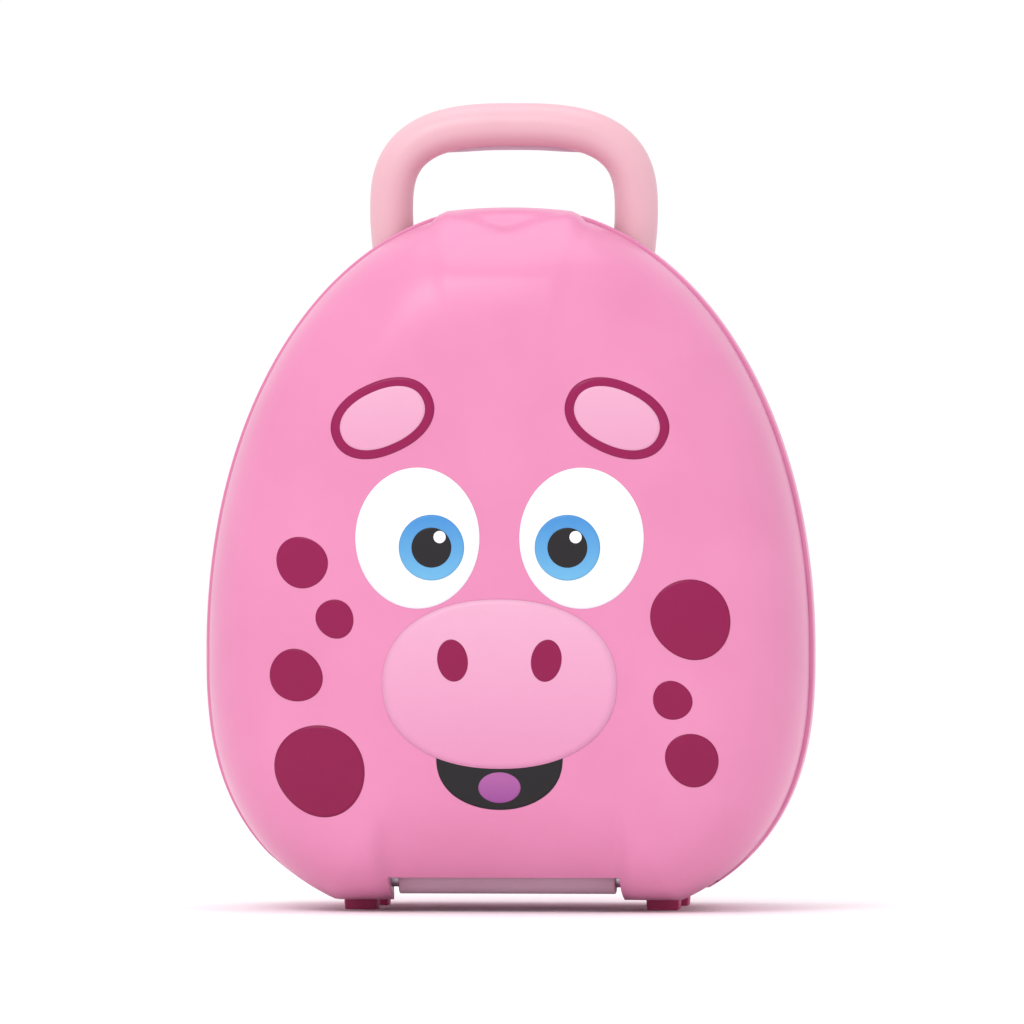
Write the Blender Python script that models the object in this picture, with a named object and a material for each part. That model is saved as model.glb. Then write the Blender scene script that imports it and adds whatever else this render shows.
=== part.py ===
"""A child's carry-case potty, standing closed on its narrow feet.

The egg-shaped case is split by an upright parting plane. Behind it the base holds a seat deck and a bowl,
in front of it the lid swings down on a hinge at the bottom, and a carrying handle folds back over the base.
+X is the width, -Y faces the front of the lid, +Z is up, and the floor is z = 0. Units are metres.
"""

import math

import bmesh
import bpy
from mathutils import Matrix, Vector

# ---------------------------------------------------------------- the whole case
CASE_WIDTH = 0.261  # across the base's rim
CASE_DEPTH = 0.165  # lid front to the back feet
LID_DEPTH = 0.050  # lid front to the parting plane
WIDEST_Z = 0.111  # height of the widest line of the egg
LID_TOP = 0.301
LID_FLOOR = 0.0047  # underside of the lid's two lobes
BASE_TOP = 0.302  # where the base's curve would peak
BASE_CAP = 0.2975  # it is cut flat here, so that the lid's lip stands above it
BASE_FLOOR = 0.010  # flat underside that the standing feet hang from
UPPER_POWER = 2.08  # roundness of the upper half of the egg
LOWER_POWER = 2.6  # the lower half is squarer
BELLY_DROP = 0.0117  # how far the lower curve would run on below its flat underside
OUTLINE_POINTS = 48

WALL = 0.0025
GAP = 0.0003  # between pieces that touch
FIT = 0.0005  # between pieces that slide into each other
RIM_STEP = 0.0018  # the base's rim stands this far outside the lid's

FRONT_Y = -CASE_DEPTH / 2
PART_Y = FRONT_Y + LID_DEPTH
BACK_Y = CASE_DEPTH / 2

# ---------------------------------------------------------------- lid
LID_CENTRE_Z = 0.125  # the lid's rings shrink towards this height
LID_EDGE_POWER = 8.0  # how late the lid's face starts to round over
BROW_EDGE = 0.012  # the lid's depth along the top of its crown
BROW_SLOPE = 1.25  # depth gained for each unit below the crown, down to the brow
SHOULDER_POINT = Vector((0.0230, 0.2683))  # the shoulders' facets start at a line through here
SHOULDER_DIRECTION = Vector((0.82, 0.57))  # and fall away in this direction
SHOULDER_SLOPE = 0.72
FACE_BLEND = 0.008  # how softly the facets run into the face
HEEL_SETBACK = 0.006  # the lid's face is shallower between its lobes
HEEL_HALF_WIDTH = 0.052
HEEL_EDGE = 0.008  # width over which the setback fades at its sides
HEEL_TOP_Z = 0.052
HEEL_FADE = 0.034  # height over which it fades upwards
# where the rings of the lid's skin and of its hollow lie, as shares of the outline
LID_SKIN_SHARES = (1, 0.99, 0.972, 0.948, 0.918, 0.884, 0.846, 0.80, 0.74, 0.64, 0.48, 0.26, 0.08)
LID_CORE_SHARES = (0.988, 0.965, 0.935, 0.895, 0.85, 0.78, 0.66, 0.44, 0.12)

SCOOP_Z = 0.2935  # middle of the thumb scoop
SCOOP_RADII = (0.0105, 0.0045, 0.0050)

# ---------------------------------------------------------------- base
BASE_CENTRE_Z = 0.125  # the base's rings shrink towards this height
BASE_LAND = 0.012  # straight part of the base's wall behind its rim
BASE_DRAFT = 0.070  # how much smaller the base is at its back, as a share
BASE_ROUND_DEPTH = 0.030  # depth over which its back edge rounds over
BASE_ROUND_SHARE = 0.115
BASE_STEP = 0.025  # from the straight part of the wall to the next ring
BASE_MIDDLE = 0.7  # where the ring after that lies, as a share of the drafted wall
BASE_ROUND_ANGLES = (20, 40, 57, 72, 83, 90)  # degrees round the back edge

# ---------------------------------------------------------------- hinge
HINGE_FORWARD = 0.008  # hinge axis in front of the parting plane
HINGE_Z = 0.014
HINGE_Y = PART_Y - HINGE_FORWARD
BARREL_RADIUS = 0.0065
BARREL_HALF_LENGTH = 0.0465
HINGE_SIDE_GAP = 0.003  # the bare pin that shows at each end of the barrel
EAR_THICKNESS = 0.003
PIN_RADIUS = 0.003
PIN_CLEARANCE = 0.0004  # round every pin
SLOT_FRONT_Z = 0.015  # lower edge of the lid above the barrel
SLOT_CLEARANCE = 0.0015
HINGE_WEB = 0.0038  # thickness of the web that joins the barrel to the deck
RELIEF_CLEARANCE = 0.0009

# ---------------------------------------------------------------- seat, bowl and seal
MOUTH_HALF_WIDTH = 0.066
MOUTH_HALF_HEIGHT = 0.088
MOUTH_Z = 0.150
MOUTH_POWER = 2.15
DECK_RECESS = 0.002  # deck behind the parting plane
DECK_THICKNESS = 0.0025
DECK_SKIRT = 0.0035
LIP_HEIGHT = 0.002
SPLASH_HEIGHT = 0.018  # how far the splash guard rises above the lip
SPLASH_REACH = math.radians(62)  # half the arc that it covers
SPLASH_RISE = 1.6  # how quickly it rises from its ends
DRIP_DEPTH = 0.012
SEAL_OFFSET = 0.020  # seal's middle outside the mouth
SEAL_WIDTH = 0.005
LINER_RECESS = 0.0015  # liner in front of the parting plane
LINER_WALL = 0.0022
LINER_FLOOR_Z = 0.0275
GROOVE_DEPTH = 0.0012
DISH_DEPTH = 0.027  # room in the lid for the splash guard
DISH_OFFSET = 0.008  # dish's edge outside the mouth
DISH_TAPER = 0.010
DISH_BEND = 0.7  # share of the dish's depth at which half of the taper is reached
LINER_SIDE_CLEARANCE = 0.0014
LATCH_Z = 0.2785  # tongue at the top of the liner that snaps through the deck's window
LATCH_WIDTH = 0.018
LATCH_THICKNESS = 0.0022
LATCH_REACH = 0.0036  # tongue behind the deck
LATCH_NOSE = 0.0006
LATCH_CLEARANCE = 0.0010
BOWL_MOUTH = WALL + 0.0008  # bowl's inside outside the mouth, round the deck's collar
BOWL_DEPTH = 0.094
BOWL_FLANGE = 0.012  # outer edge of the bowl's flange outside the mouth
BOWL_TAPER = 0.021  # how much the bowl narrows on each side towards its floor
BOWL_STRAIGHT_SHARE = 0.45  # the part of the taper that is even, the rest rounds the floor's edge
BOWL_ROUND_POWER = 6
BOWL_FLOOR_EDGE = 0.008  # from the last ring of the wall to the flat floor
BOWL_SHARES = (1, 0.97, 0.9, 0.78, 0.6, 0.3)  # heights of the bowl's rings, from its floor up

# ---------------------------------------------------------------- handle
HANDLE_TOP = 0.346
HANDLE_HALF_WIDTH = 0.0527  # centreline of the legs at their widest
HANDLE_FOOT_HALF_WIDTH = 0.0505  # centreline at the pivot
HANDLE_SHOULDER_Z = 0.299
HANDLE_POWER = 2.9
GRIP_WIDTH = 0.0186
GRIP_DEPTH = 0.020
GRIP_WALL = 0.0026
HUB_RADIUS = 0.0104
HUB_WIDTH = GRIP_WIDTH - 0.0011  # the grip's sides stand just proud of the hub
SKIRT_CLEARANCE = 0.0004  # between the deck's skirt and the front wall of the handle's pockets
PIVOT_Z = 0.268
PIVOT_PIN_RADIUS = 0.0035
PIN_HEAD_RADIUS = 0.0055
PIN_HEAD_THICKNESS = 0.0015
POCKET_CLEARANCE = 0.0012
HANDLE_FOLD = math.radians(62)  # how far the handle lies back before it meets the base's top
HANDLE_STEPS = 24
HANDLE_SECTION_SIDES = 16

# ---------------------------------------------------------------- fixings and feet
TOWER_RADIUS = 0.0080
WELL_RADIUS = 0.0042
TOWER_OFFSET = 0.0175  # screw towers outside the mouth
TOWER_ANGLES = [math.radians(a) for a in (42, 138, 222, 318)]
TOWER_CAP = 0.0040
BOSS_SOCKET = 0.0050  # how deep a deck boss stands in its tower
DECK_BOSS_RADIUS = 0.0050
SCREW_RADIUS = 0.0016
SCREW_HEAD_RADIUS = 0.0036
SCREW_HEAD_HEIGHT = 0.0018
SCREW_HOLE_RADIUS = SCREW_RADIUS + 0.0004
LID_SCREW_LENGTH = 0.0080
LINER_BOSS_RADIUS = 0.0042
LINER_SCREW_ANGLES = [math.radians(a) for a in (12, 66, 114, 168, 205, 335)]
BACK_FOOT_RADIUS = 0.0110
BACK_FOOT_HEIGHT = 0.0022
BACK_FOOT_TAPER = 0.0010
STANDING_FOOT_WIDTH = 0.0160
STANDING_FOOT_LENGTH = 0.0160
STANDING_FOOT_X = 0.0650
FRONT_FOOT_BEHIND = 0.0095  # front feet behind the parting plane, clear of the lid's swing
REAR_FOOT_BEHIND = 0.0700
FOOT_TAPER = 0.0012
FOOT_STEM_RADIUS = 0.0030
FOOT_STEM_TOP = 0.0220
HANDLE_BOSS_RADIUS = 0.0046
HANDLE_SCREW_SINK = 0.0055  # screw seats under the back of the grip
ROUND_SIDES = 16
CUTTER_REACH = 0.3  # how far an open-ended cutter runs

SHELL_BACK_Y = BACK_Y - BACK_FOOT_HEIGHT
DECK_Y = PART_Y + DECK_RECESS
DECK_BACK_Y = DECK_Y + DECK_THICKNESS
FLANGE_Y = DECK_BACK_Y + GAP
FLANGE_BACK_Y = FLANGE_Y + WALL
TOWER_TOP_Y = FLANGE_BACK_Y + GAP
LINER_Y = PART_Y - LINER_RECESS
BOWL_LAND = DRIP_DEPTH / BOWL_DEPTH  # the bowl is straight beside the deck's collar
SLOT_HALF_WIDTH = BARREL_HALF_LENGTH + HINGE_SIDE_GAP
SWING_RADIUS = math.hypot(HINGE_FORWARD, HINGE_Z - LID_FLOOR)  # of the lobes' back corners
POCKET_RADIUS = max(HUB_RADIUS, GRIP_DEPTH / 2) + POCKET_CLEARANCE
PIVOT_Y = DECK_BACK_Y + DECK_SKIRT + SKIRT_CLEARANCE + WALL + POCKET_RADIUS
SCREW_SHOULDER_Y = TOWER_TOP_Y + BOSS_SOCKET + TOWER_CAP
BASE_DEPTH = SHELL_BACK_Y - PART_Y
BASE_STRAIGHT = BASE_DEPTH - BASE_ROUND_DEPTH
POCKET_HALF_WIDTH = GRIP_WIDTH / 2 + (HANDLE_HALF_WIDTH - HANDLE_FOOT_HALF_WIDTH) / 2 + POCKET_CLEARANCE

PINK = (0.86, 0.33, 0.56, 1)
PALE_PINK = (0.93, 0.66, 0.72, 1)
DEEP_PINK = (0.55, 0.08, 0.22, 1)
SEAL_WHITE = (0.86, 0.84, 0.85, 1)
STEEL = (0.6, 0.6, 0.62, 1)


# ---------------------------------------------------------------- scene and materials
def clear_scene():
    for found in list(bpy.data.objects):
        bpy.data.objects.remove(found)


def plastic(name, colour, roughness, metallic=0.0):
    made = bpy.data.materials.new(name)
    made.use_nodes = True
    shader = made.node_tree.nodes["Principled BSDF"]
    shader.inputs["Base Color"].default_value = colour
    shader.inputs["Roughness"].default_value = roughness
    shader.inputs["Metallic"].default_value = metallic
    return made


# ---------------------------------------------------------------- plane outlines, as (x, z) points
def egg(half_width, top, bottom, cap=None, drop=BELLY_DROP):
    """The case's outline, counter-clockwise from +X as seen from the front."""
    points = []
    for i in range(OUTLINE_POINTS):
        angle = 2 * math.pi * i / OUTLINE_POINTS
        c, s = math.cos(angle), math.sin(angle)
        upper = s >= 0
        power = UPPER_POWER if upper else LOWER_POWER
        reach = top - WIDEST_Z if upper else WIDEST_Z - bottom + drop
        x = half_width * math.copysign(abs(c) ** (2 / power), c)
        z = WIDEST_Z + reach * math.copysign(abs(s) ** (2 / power), s)
        points.append((x, min(max(z, bottom), cap or top)))
    return points


def mouth(offset):
    """The seat's opening, grown by offset all round."""
    points = []
    for i in range(OUTLINE_POINTS):
        angle = 2 * math.pi * i / OUTLINE_POINTS
        points.append(mouth_point(angle, offset))
    return points


def mouth_point(angle, offset):
    c, s = math.cos(angle), math.sin(angle)
    x = (MOUTH_HALF_WIDTH + offset) * math.copysign(abs(c) ** (2 / MOUTH_POWER), c)
    z = (MOUTH_HALF_HEIGHT + offset) * math.copysign(abs(s) ** (2 / MOUTH_POWER), s)
    return x, MOUTH_Z + z


def inset(points, distance):
    """The outline moved inwards along its own normals."""
    moved = []
    for i, (x, z) in enumerate(points):
        before, after = points[i - 1], points[(i + 1) % len(points)]
        along = Vector((after[0] - before[0], after[1] - before[1])).normalized()
        moved.append((x - along.y * distance, z + along.x * distance))
    return moved


def shrunk(points, share, towards_z):
    return [(x * share, towards_z + (z - towards_z) * share) for x, z in points]


def at_depth(points, y):
    return [Vector((x, y, z)) for x, z in points]


LID_OUTLINE = egg(CASE_WIDTH / 2 - RIM_STEP, LID_TOP, LID_FLOOR)
BASE_OUTLINE = egg(CASE_WIDTH / 2, BASE_TOP, BASE_FLOOR, BASE_CAP, BELLY_DROP + BASE_FLOOR - LID_FLOOR)
DECK_OUTLINE = inset(BASE_OUTLINE, WALL + FIT)


# ---------------------------------------------------------------- solids and Booleans
def as_object(name, bm, material=None):
    mesh = bpy.data.meshes.new(name)
    bm.to_mesh(mesh)
    bm.free()
    made = bpy.data.objects.new(name, mesh)
    bpy.context.scene.collection.objects.link(made)
    if material:
        mesh.materials.append(material)
    return made


def skin(name, rings, looped=False):
    """A solid through rings of points, closed over the first and last ring, or round from last to first."""
    bm = bmesh.new()
    loops = [[bm.verts.new(p) for p in ring] for ring in rings]
    pairs = list(zip(loops, loops[1:]))
    if looped:
        pairs.append((loops[-1], loops[0]))
    for outer, inner in pairs:
        for i in range(len(outer)):
            j = (i + 1) % len(outer)
            bm.faces.new((outer[i], outer[j], inner[j], inner[i]))
    if not looped:
        bm.faces.new(loops[0])
        bm.faces.new(loops[-1])
    bmesh.ops.triangulate(bm, faces=[face for face in bm.faces if len(face.verts) == 4])
    bmesh.ops.recalc_face_normals(bm, faces=bm.faces)
    if bm.calc_volume(signed=True) < 0:
        bmesh.ops.reverse_faces(bm, faces=bm.faces)
    return as_object(name, bm)


def prism(name, profile, origin, start, end):
    """A profile of (y, z) points about an origin, run along X from start to end."""
    rings = []
    for x in (start, end):
        rings.append([Vector((x, origin[0] + y, origin[1] + z)) for y, z in profile])
    return skin(name, rings)


def block(name, low, high):
    bm = bmesh.new()
    bmesh.ops.create_cube(bm, size=1)
    size = Vector(high) - Vector(low)
    bmesh.ops.scale(bm, vec=size, verts=bm.verts)
    bmesh.ops.translate(bm, vec=(Vector(low) + Vector(high)) / 2, verts=bm.verts)
    return as_object(name, bm)


def rod(name, start, end, radius, sides=ROUND_SIDES, end_radius=None):
    """A cylinder or cone from start to end."""
    start, end = Vector(start), Vector(end)
    bm = bmesh.new()
    bmesh.ops.create_cone(
        bm,
        cap_ends=True,
        segments=sides,
        radius1=radius,
        radius2=radius if end_radius is None else end_radius,
        depth=(end - start).length,
    )
    turn = (end - start).to_track_quat("Z", "Y").to_matrix().to_4x4()
    bmesh.ops.transform(bm, matrix=Matrix.Translation((start + end) / 2) @ turn, verts=bm.verts)
    return as_object(name, bm)


def combine(target, tools, operation):
    """Applies one Boolean for each tool, and removes the tool."""
    for tool in tools:
        modifier = target.modifiers.new(operation, "BOOLEAN")
        modifier.operation = operation
        modifier.solver = "EXACT"
        modifier.object = tool
        graph = bpy.context.evaluated_depsgraph_get()
        baked = bpy.data.meshes.new_from_object(target.evaluated_get(graph))
        target.modifiers.clear()
        target.data = baked
        bpy.data.objects.remove(tool)
    return target


def hollow(solid, core, walls, cuts):
    """A shell: the solid less its core, with walls left standing inside it, and then the cuts."""
    combine(core, walls, "DIFFERENCE")
    combine(solid, [core], "DIFFERENCE")
    return combine(solid, cuts, "DIFFERENCE")


def finish(made, material, parent=None, smooth_angle=32):
    """Names the material, shades round stretches smooth and hangs the piece from its body's empty."""
    made.data.materials.clear()
    made.data.materials.append(material)
    made.data.shade_smooth()
    made.data.set_sharp_from_angle(angle=math.radians(smooth_angle))
    if parent:
        made.parent = parent
        made.matrix_parent_inverse = parent.matrix_world.inverted()
    return made


def pivot(name, place):
    """An empty on a joint's axis, which carries the pieces that move with it."""
    made = bpy.data.objects.new(name, None)
    made.location = place
    bpy.context.scene.collection.objects.link(made)
    bpy.context.view_layer.update()
    return made


# ---------------------------------------------------------------- lid
def soft_min(a, b, radius):
    h = min(max(0.5 + 0.5 * (b - a) / radius, 0), 1)
    return b + (a - b) * h - radius * h * (1 - h)


def smooth_step(value):
    t = min(max(value, 0), 1)
    return t * t * (3 - 2 * t)


def lid_depth(x, z, share):
    """How far the lid stands in front of the parting plane: a round face, a sloping brow and shoulders."""
    depth = LID_DEPTH * math.sqrt(max(0.0, 1 - share**LID_EDGE_POWER))
    brow = BROW_EDGE + (LID_TOP - z) * BROW_SLOPE
    beyond = SHOULDER_DIRECTION.dot(Vector((abs(x), z)) - SHOULDER_POINT)
    shoulder = LID_DEPTH + FACE_BLEND - SHOULDER_SLOPE * max(0, beyond)
    depth = soft_min(soft_min(depth, brow, FACE_BLEND), shoulder, FACE_BLEND)
    heel = smooth_step((HEEL_HALF_WIDTH + HEEL_EDGE / 2 - abs(x)) / HEEL_EDGE)
    heel *= smooth_step((HEEL_TOP_Z - z) / HEEL_FADE)
    return max(0.0, depth - min(HEEL_SETBACK * heel, depth / 2))


def lid_rings(outline, shares, thinner):
    rings = []
    for share in shares:
        flat = shrunk(outline, share, LID_CENTRE_Z)
        rings.append([Vector((x, PART_Y - max(0, lid_depth(x, z, share) - thinner), z)) for x, z in flat])
    return rings


def lid_screw_places():
    """Half way between the seal and the lid's edge."""
    places = []
    for angle in LINER_SCREW_ANGLES:
        inner = Vector(mouth_point(angle, SEAL_OFFSET + SEAL_WIDTH / 2))
        direction = (inner - Vector((0, MOUTH_Z))).normalized()
        index = min(
            range(OUTLINE_POINTS),
            key=lambda i: (Vector(LID_OUTLINE[i]) - Vector((0, MOUTH_Z))).angle(direction),
        )
        outer = Vector(inset(LID_OUTLINE, WALL)[index])
        places.append(inner.lerp(outer, 0.5))
    return places


def hinge_slot(half_width, grow):
    """The space that the barrel and its web need in the lid, through the whole swing."""
    radius = BARREL_RADIUS + SLOT_CLEARANCE + grow
    edge_rise = SLOT_FRONT_Z + grow - HINGE_Z
    first = math.pi - math.asin(edge_rise / radius)
    far = CUTTER_REACH
    profile = [(-far, -far), (-far, edge_rise)]
    for i in range(11):
        angle = first + (math.pi / 2 - first) * i / 10
        profile.append((radius * math.cos(angle), radius * math.sin(angle)))
    profile += [(far, radius), (far, -far)]
    return prism("hinge_slot", profile, (HINGE_Y, HINGE_Z), -half_width, half_width)


def along_hinge(name, start, end, radius, sides=ROUND_SIDES):
    return rod(name, (start, HINGE_Y, HINGE_Z), (end, HINGE_Y, HINGE_Z), radius, sides)


def ball(name, centre, radii):
    bm = bmesh.new()
    bmesh.ops.create_uvsphere(bm, u_segments=20, v_segments=10, radius=1)
    bmesh.ops.scale(bm, vec=radii, verts=bm.verts)
    bmesh.ops.translate(bm, vec=centre, verts=bm.verts)
    return as_object(name, bm)


def scoop(grow):
    """The hollow for a thumb in the front of the lid's crown."""
    radii = [r + grow for r in SCOOP_RADII]
    return ball("scoop", (0, PART_Y - lid_depth(0, SCOOP_Z, 0), SCOOP_Z), radii)


def make_lid_shell():
    solid = skin("lid_shell", lid_rings(LID_OUTLINE, LID_SKIN_SHARES, 0))
    core_outline = inset(LID_OUTLINE, WALL)
    behind = at_depth(core_outline, PART_Y + WALL)
    core = skin("lid_core", [behind] + lid_rings(core_outline, LID_CORE_SHARES, WALL))
    walls, cuts = [], []
    boss_end = LINER_Y - LINER_WALL - GAP
    for i, (x, z) in enumerate(lid_screw_places()):
        walls.append(rod(f"lid_boss_{i}", (x, FRONT_Y, z), (x, boss_end, z), LINER_BOSS_RADIUS, 12))
        bottom = boss_end - LID_SCREW_LENGTH
        cuts.append(rod(f"lid_pilot_{i}", (x, bottom, z), (x, PART_Y, z), SCREW_HOLE_RADIUS, 10))
    walls += [hinge_slot(SLOT_HALF_WIDTH + EAR_THICKNESS, WALL), scoop(WALL / 2)]
    reach = SLOT_HALF_WIDTH + EAR_THICKNESS + WALL
    ear_bores = along_hinge("ear_bores", -reach, reach, PIN_RADIUS + PIN_CLEARANCE)
    cuts += [hinge_slot(SLOT_HALF_WIDTH, 0), scoop(0), ear_bores]
    return hollow(solid, core, walls, cuts)


def liner_outline(distance):
    """The lid's outline moved inwards, with the part around the hinge left out."""
    return [(x, max(z, LINER_FLOOR_Z)) for x, z in inset(LID_OUTLINE, distance)]


def make_lid_liner():
    front_y = LINER_Y - LINER_WALL
    outline = liner_outline(WALL + LINER_SIDE_CLEARANCE)
    plate = skin("lid_liner", [at_depth(outline, LINER_Y), at_depth(outline, front_y)])
    dish = [
        at_depth(mouth(DISH_OFFSET + LINER_WALL), LINER_Y - LINER_WALL / 2),
        at_depth(mouth(DISH_OFFSET + LINER_WALL - DISH_TAPER / 2), front_y - DISH_DEPTH * DISH_BEND),
        at_depth(mouth(DISH_OFFSET + LINER_WALL - DISH_TAPER), front_y - DISH_DEPTH),
    ]
    room = [
        at_depth(mouth(DISH_OFFSET), LINER_Y + WALL),
        at_depth(mouth(DISH_OFFSET), LINER_Y),
        at_depth(mouth(DISH_OFFSET - DISH_TAPER / 2), LINER_Y - DISH_DEPTH * DISH_BEND),
        at_depth(mouth(DISH_OFFSET - DISH_TAPER), LINER_Y - DISH_DEPTH),
    ]
    half_groove = SEAL_WIDTH / 2 + FIT
    groove = [
        at_depth(mouth(SEAL_OFFSET + half_groove), LINER_Y - GROOVE_DEPTH),
        at_depth(mouth(SEAL_OFFSET + half_groove), LINER_Y + WALL),
        at_depth(mouth(SEAL_OFFSET - half_groove), LINER_Y + WALL),
        at_depth(mouth(SEAL_OFFSET - half_groove), LINER_Y - GROOVE_DEPTH),
    ]
    hook_low, hook_high = LATCH_Z - LATCH_THICKNESS / 2, LATCH_Z + LATCH_THICKNESS / 2
    tongue_back = DECK_BACK_Y + LATCH_REACH
    tongue = block(
        "tongue", (-LATCH_WIDTH / 2, front_y, hook_low), (LATCH_WIDTH / 2, tongue_back, hook_high)
    )
    nose = block(
        "nose",
        (-LATCH_WIDTH / 2, tongue_back - LATCH_REACH / 2, LATCH_Z),
        (LATCH_WIDTH / 2, tongue_back, hook_high + LATCH_NOSE),
    )
    combine(plate, [skin("dish", dish), tongue, nose], "UNION")
    holes = []
    for i, (x, z) in enumerate(lid_screw_places()):
        holes.append(rod(f"hole_{i}", (x, front_y - WALL, z), (x, PART_Y, z), SCREW_HOLE_RADIUS, 10))
    return combine(plate, [skin("room", room), skin("groove", groove, looped=True)] + holes, "DIFFERENCE")


def make_lid_seal():
    low_y, high_y = LINER_Y - GROOVE_DEPTH + GAP, DECK_Y - GAP
    outer, inner = SEAL_OFFSET + SEAL_WIDTH / 2, SEAL_OFFSET - SEAL_WIDTH / 2
    rings = [
        at_depth(mouth(outer), low_y),
        at_depth(mouth(outer), (low_y + high_y) / 2),
        at_depth(mouth(SEAL_OFFSET + SEAL_WIDTH / 5), high_y),
        at_depth(mouth(SEAL_OFFSET - SEAL_WIDTH / 5), high_y),
        at_depth(mouth(inner), (low_y + high_y) / 2),
        at_depth(mouth(inner), low_y),
    ]
    return skin("lid_seal", rings, looped=True)


def make_screw(name, x, z, head_y, tip_y):
    """A countersunk-head screw along Y, with its head's flat end at head_y and its tip at tip_y."""
    way = math.copysign(1, head_y - tip_y)
    neck_y = head_y - way * SCREW_HEAD_HEIGHT
    shank = rod(name, (x, neck_y + way * SCREW_HEAD_HEIGHT / 2, z), (x, tip_y, z), SCREW_RADIUS, 10)
    head = rod("head", (x, neck_y, z), (x, head_y, z), SCREW_HEAD_RADIUS, 12)
    return combine(shank, [head], "UNION")


# ---------------------------------------------------------------- base
def base_share(depth):
    """How large the base's outline is at a depth behind the parting plane."""
    draft = max(0, depth - BASE_LAND) / (BASE_DEPTH - BASE_LAND)
    into_round = max(0, depth - (BASE_DEPTH - BASE_ROUND_DEPTH)) / BASE_ROUND_DEPTH
    rounding = 1 - math.sqrt(max(0, 1 - into_round**2))
    return 1 - BASE_DRAFT * draft - BASE_ROUND_SHARE * rounding


def base_rings(outline, depths):
    return [at_depth(shrunk(outline, base_share(d), BASE_CENTRE_Z), PART_Y + d) for d in depths]


def lobe_relief(grow):
    """The room behind the parting plane that the lid's lobes swing through, on each side of the hinge."""
    inner, outer = BARREL_HALF_LENGTH + HINGE_SIDE_GAP / 2 - grow, CASE_WIDTH / 2 + grow
    radius = SWING_RADIUS + RELIEF_CLEARANCE + grow
    return [along_hinge("relief", side * inner, side * outer, radius, 28) for side in (-1, 1)]


def handle_pocket(side, grow):
    """The slot that one leg of the handle turns in, from upright to folded back."""
    centre = side * (HANDLE_HALF_WIDTH + HANDLE_FOOT_HALF_WIDTH) / 2
    half = POCKET_HALF_WIDTH + grow
    radius = POCKET_RADIUS + grow
    far = CUTTER_REACH
    start, end = math.pi, 3 * math.pi / 2 + (math.pi / 2 - HANDLE_FOLD)
    profile = [(-radius, far)]
    for i in range(13):
        angle = start + (end - start) * i / 12
        profile.append((radius * math.cos(angle), radius * math.sin(angle)))
    last_y, last_z = profile[-1]
    profile.append((last_y + far * math.sin(HANDLE_FOLD), last_z + far * math.cos(HANDLE_FOLD)))
    profile.append((profile[-1][0], far))
    return prism(f"pocket_{side}", profile, (PIVOT_Y, PIVOT_Z), centre - half, centre + half)


def along_pivot(name, start, end, radius, sides=ROUND_SIDES):
    return rod(name, (start, PIVOT_Y, PIVOT_Z), (end, PIVOT_Y, PIVOT_Z), radius, sides)


def pocket_sides(side):
    """Where a pocket's inner and outer walls stand, without their thickness."""
    centre = (HANDLE_HALF_WIDTH + HANDLE_FOOT_HALF_WIDTH) / 2
    return side * (centre - POCKET_HALF_WIDTH), side * (centre + POCKET_HALF_WIDTH)


def tower_places():
    return [mouth_point(angle, TOWER_OFFSET) for angle in TOWER_ANGLES]


def standing_foot_places():
    """Middle of each standing foot, as (x, y)."""
    places = []
    for behind in (FRONT_FOOT_BEHIND + STANDING_FOOT_LENGTH / 2, REAR_FOOT_BEHIND):
        for side in (-1, 1):
            places.append((side * STANDING_FOOT_X, PART_Y + behind))
    return places


def make_base_shell():
    depths = [GAP, BASE_LAND, BASE_LAND + BASE_STEP, BASE_STRAIGHT * BASE_MIDDLE, BASE_STRAIGHT]
    depths += [BASE_STRAIGHT + BASE_ROUND_DEPTH * math.sin(math.radians(a)) for a in BASE_ROUND_ANGLES]
    solid = skin("base_shell", base_rings(BASE_OUTLINE, depths))
    core_outline = inset(BASE_OUTLINE, WALL)
    core_depths = [-WALL, BASE_LAND] + [d - WALL for d in depths[2:]]
    core = skin("base_core", base_rings(core_outline, core_depths))
    walls = [handle_pocket(side, WALL) for side in (-1, 1)]
    cuts = lobe_relief(0) + [handle_pocket(side, 0) for side in (-1, 1)]
    for side in (-1, 1):
        inner, outer = pocket_sides(side)
        start, end = inner - side * 2 * WALL, outer + side * 2 * WALL
        cuts.append(along_pivot("pin_hole", start, end, PIVOT_PIN_RADIUS + PIN_CLEARANCE))
    for i, (x, z) in enumerate(tower_places()):
        walls.append(rod(f"tower_{i}", (x, TOWER_TOP_Y, z), (x, SHELL_BACK_Y, z), TOWER_RADIUS, 20))
        socket_end = TOWER_TOP_Y + BOSS_SOCKET
        cuts.append(
            rod(f"socket_{i}", (x, PART_Y, z), (x, socket_end, z), DECK_BOSS_RADIUS + FIT, 16)
        )
        cuts.append(rod(f"well_{i}", (x, SCREW_SHOULDER_Y, z), (x, BACK_Y, z), WELL_RADIUS, 16))
        way_end = SCREW_SHOULDER_Y + WALL
        cuts.append(rod(f"screw_hole_{i}", (x, TOWER_TOP_Y, z), (x, way_end, z), SCREW_HOLE_RADIUS, 10))
    for i, (x, y) in enumerate(standing_foot_places()):
        hole_end = (x, y, FOOT_STEM_TOP + WALL)
        cuts.append(rod(f"foot_hole_{i}", (x, y, 0), hole_end, FOOT_STEM_RADIUS + FIT, 12))
    return hollow(solid, core, walls, cuts)


def guard_height(angle):
    """How far the lip's edge stands in front of the deck: it rises to the splash guard at the top."""
    share = 1 - abs(angle - math.pi / 2) / SPLASH_REACH
    return LIP_HEIGHT + SPLASH_HEIGHT * smooth_step(share * SPLASH_RISE)


def guard_ring(offset, share=1.0):
    ring = []
    for i, (x, z) in enumerate(mouth(offset)):
        angle = 2 * math.pi * i / OUTLINE_POINTS
        ring.append(Vector((x, DECK_Y - share * guard_height(angle), z)))
    return ring


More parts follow.
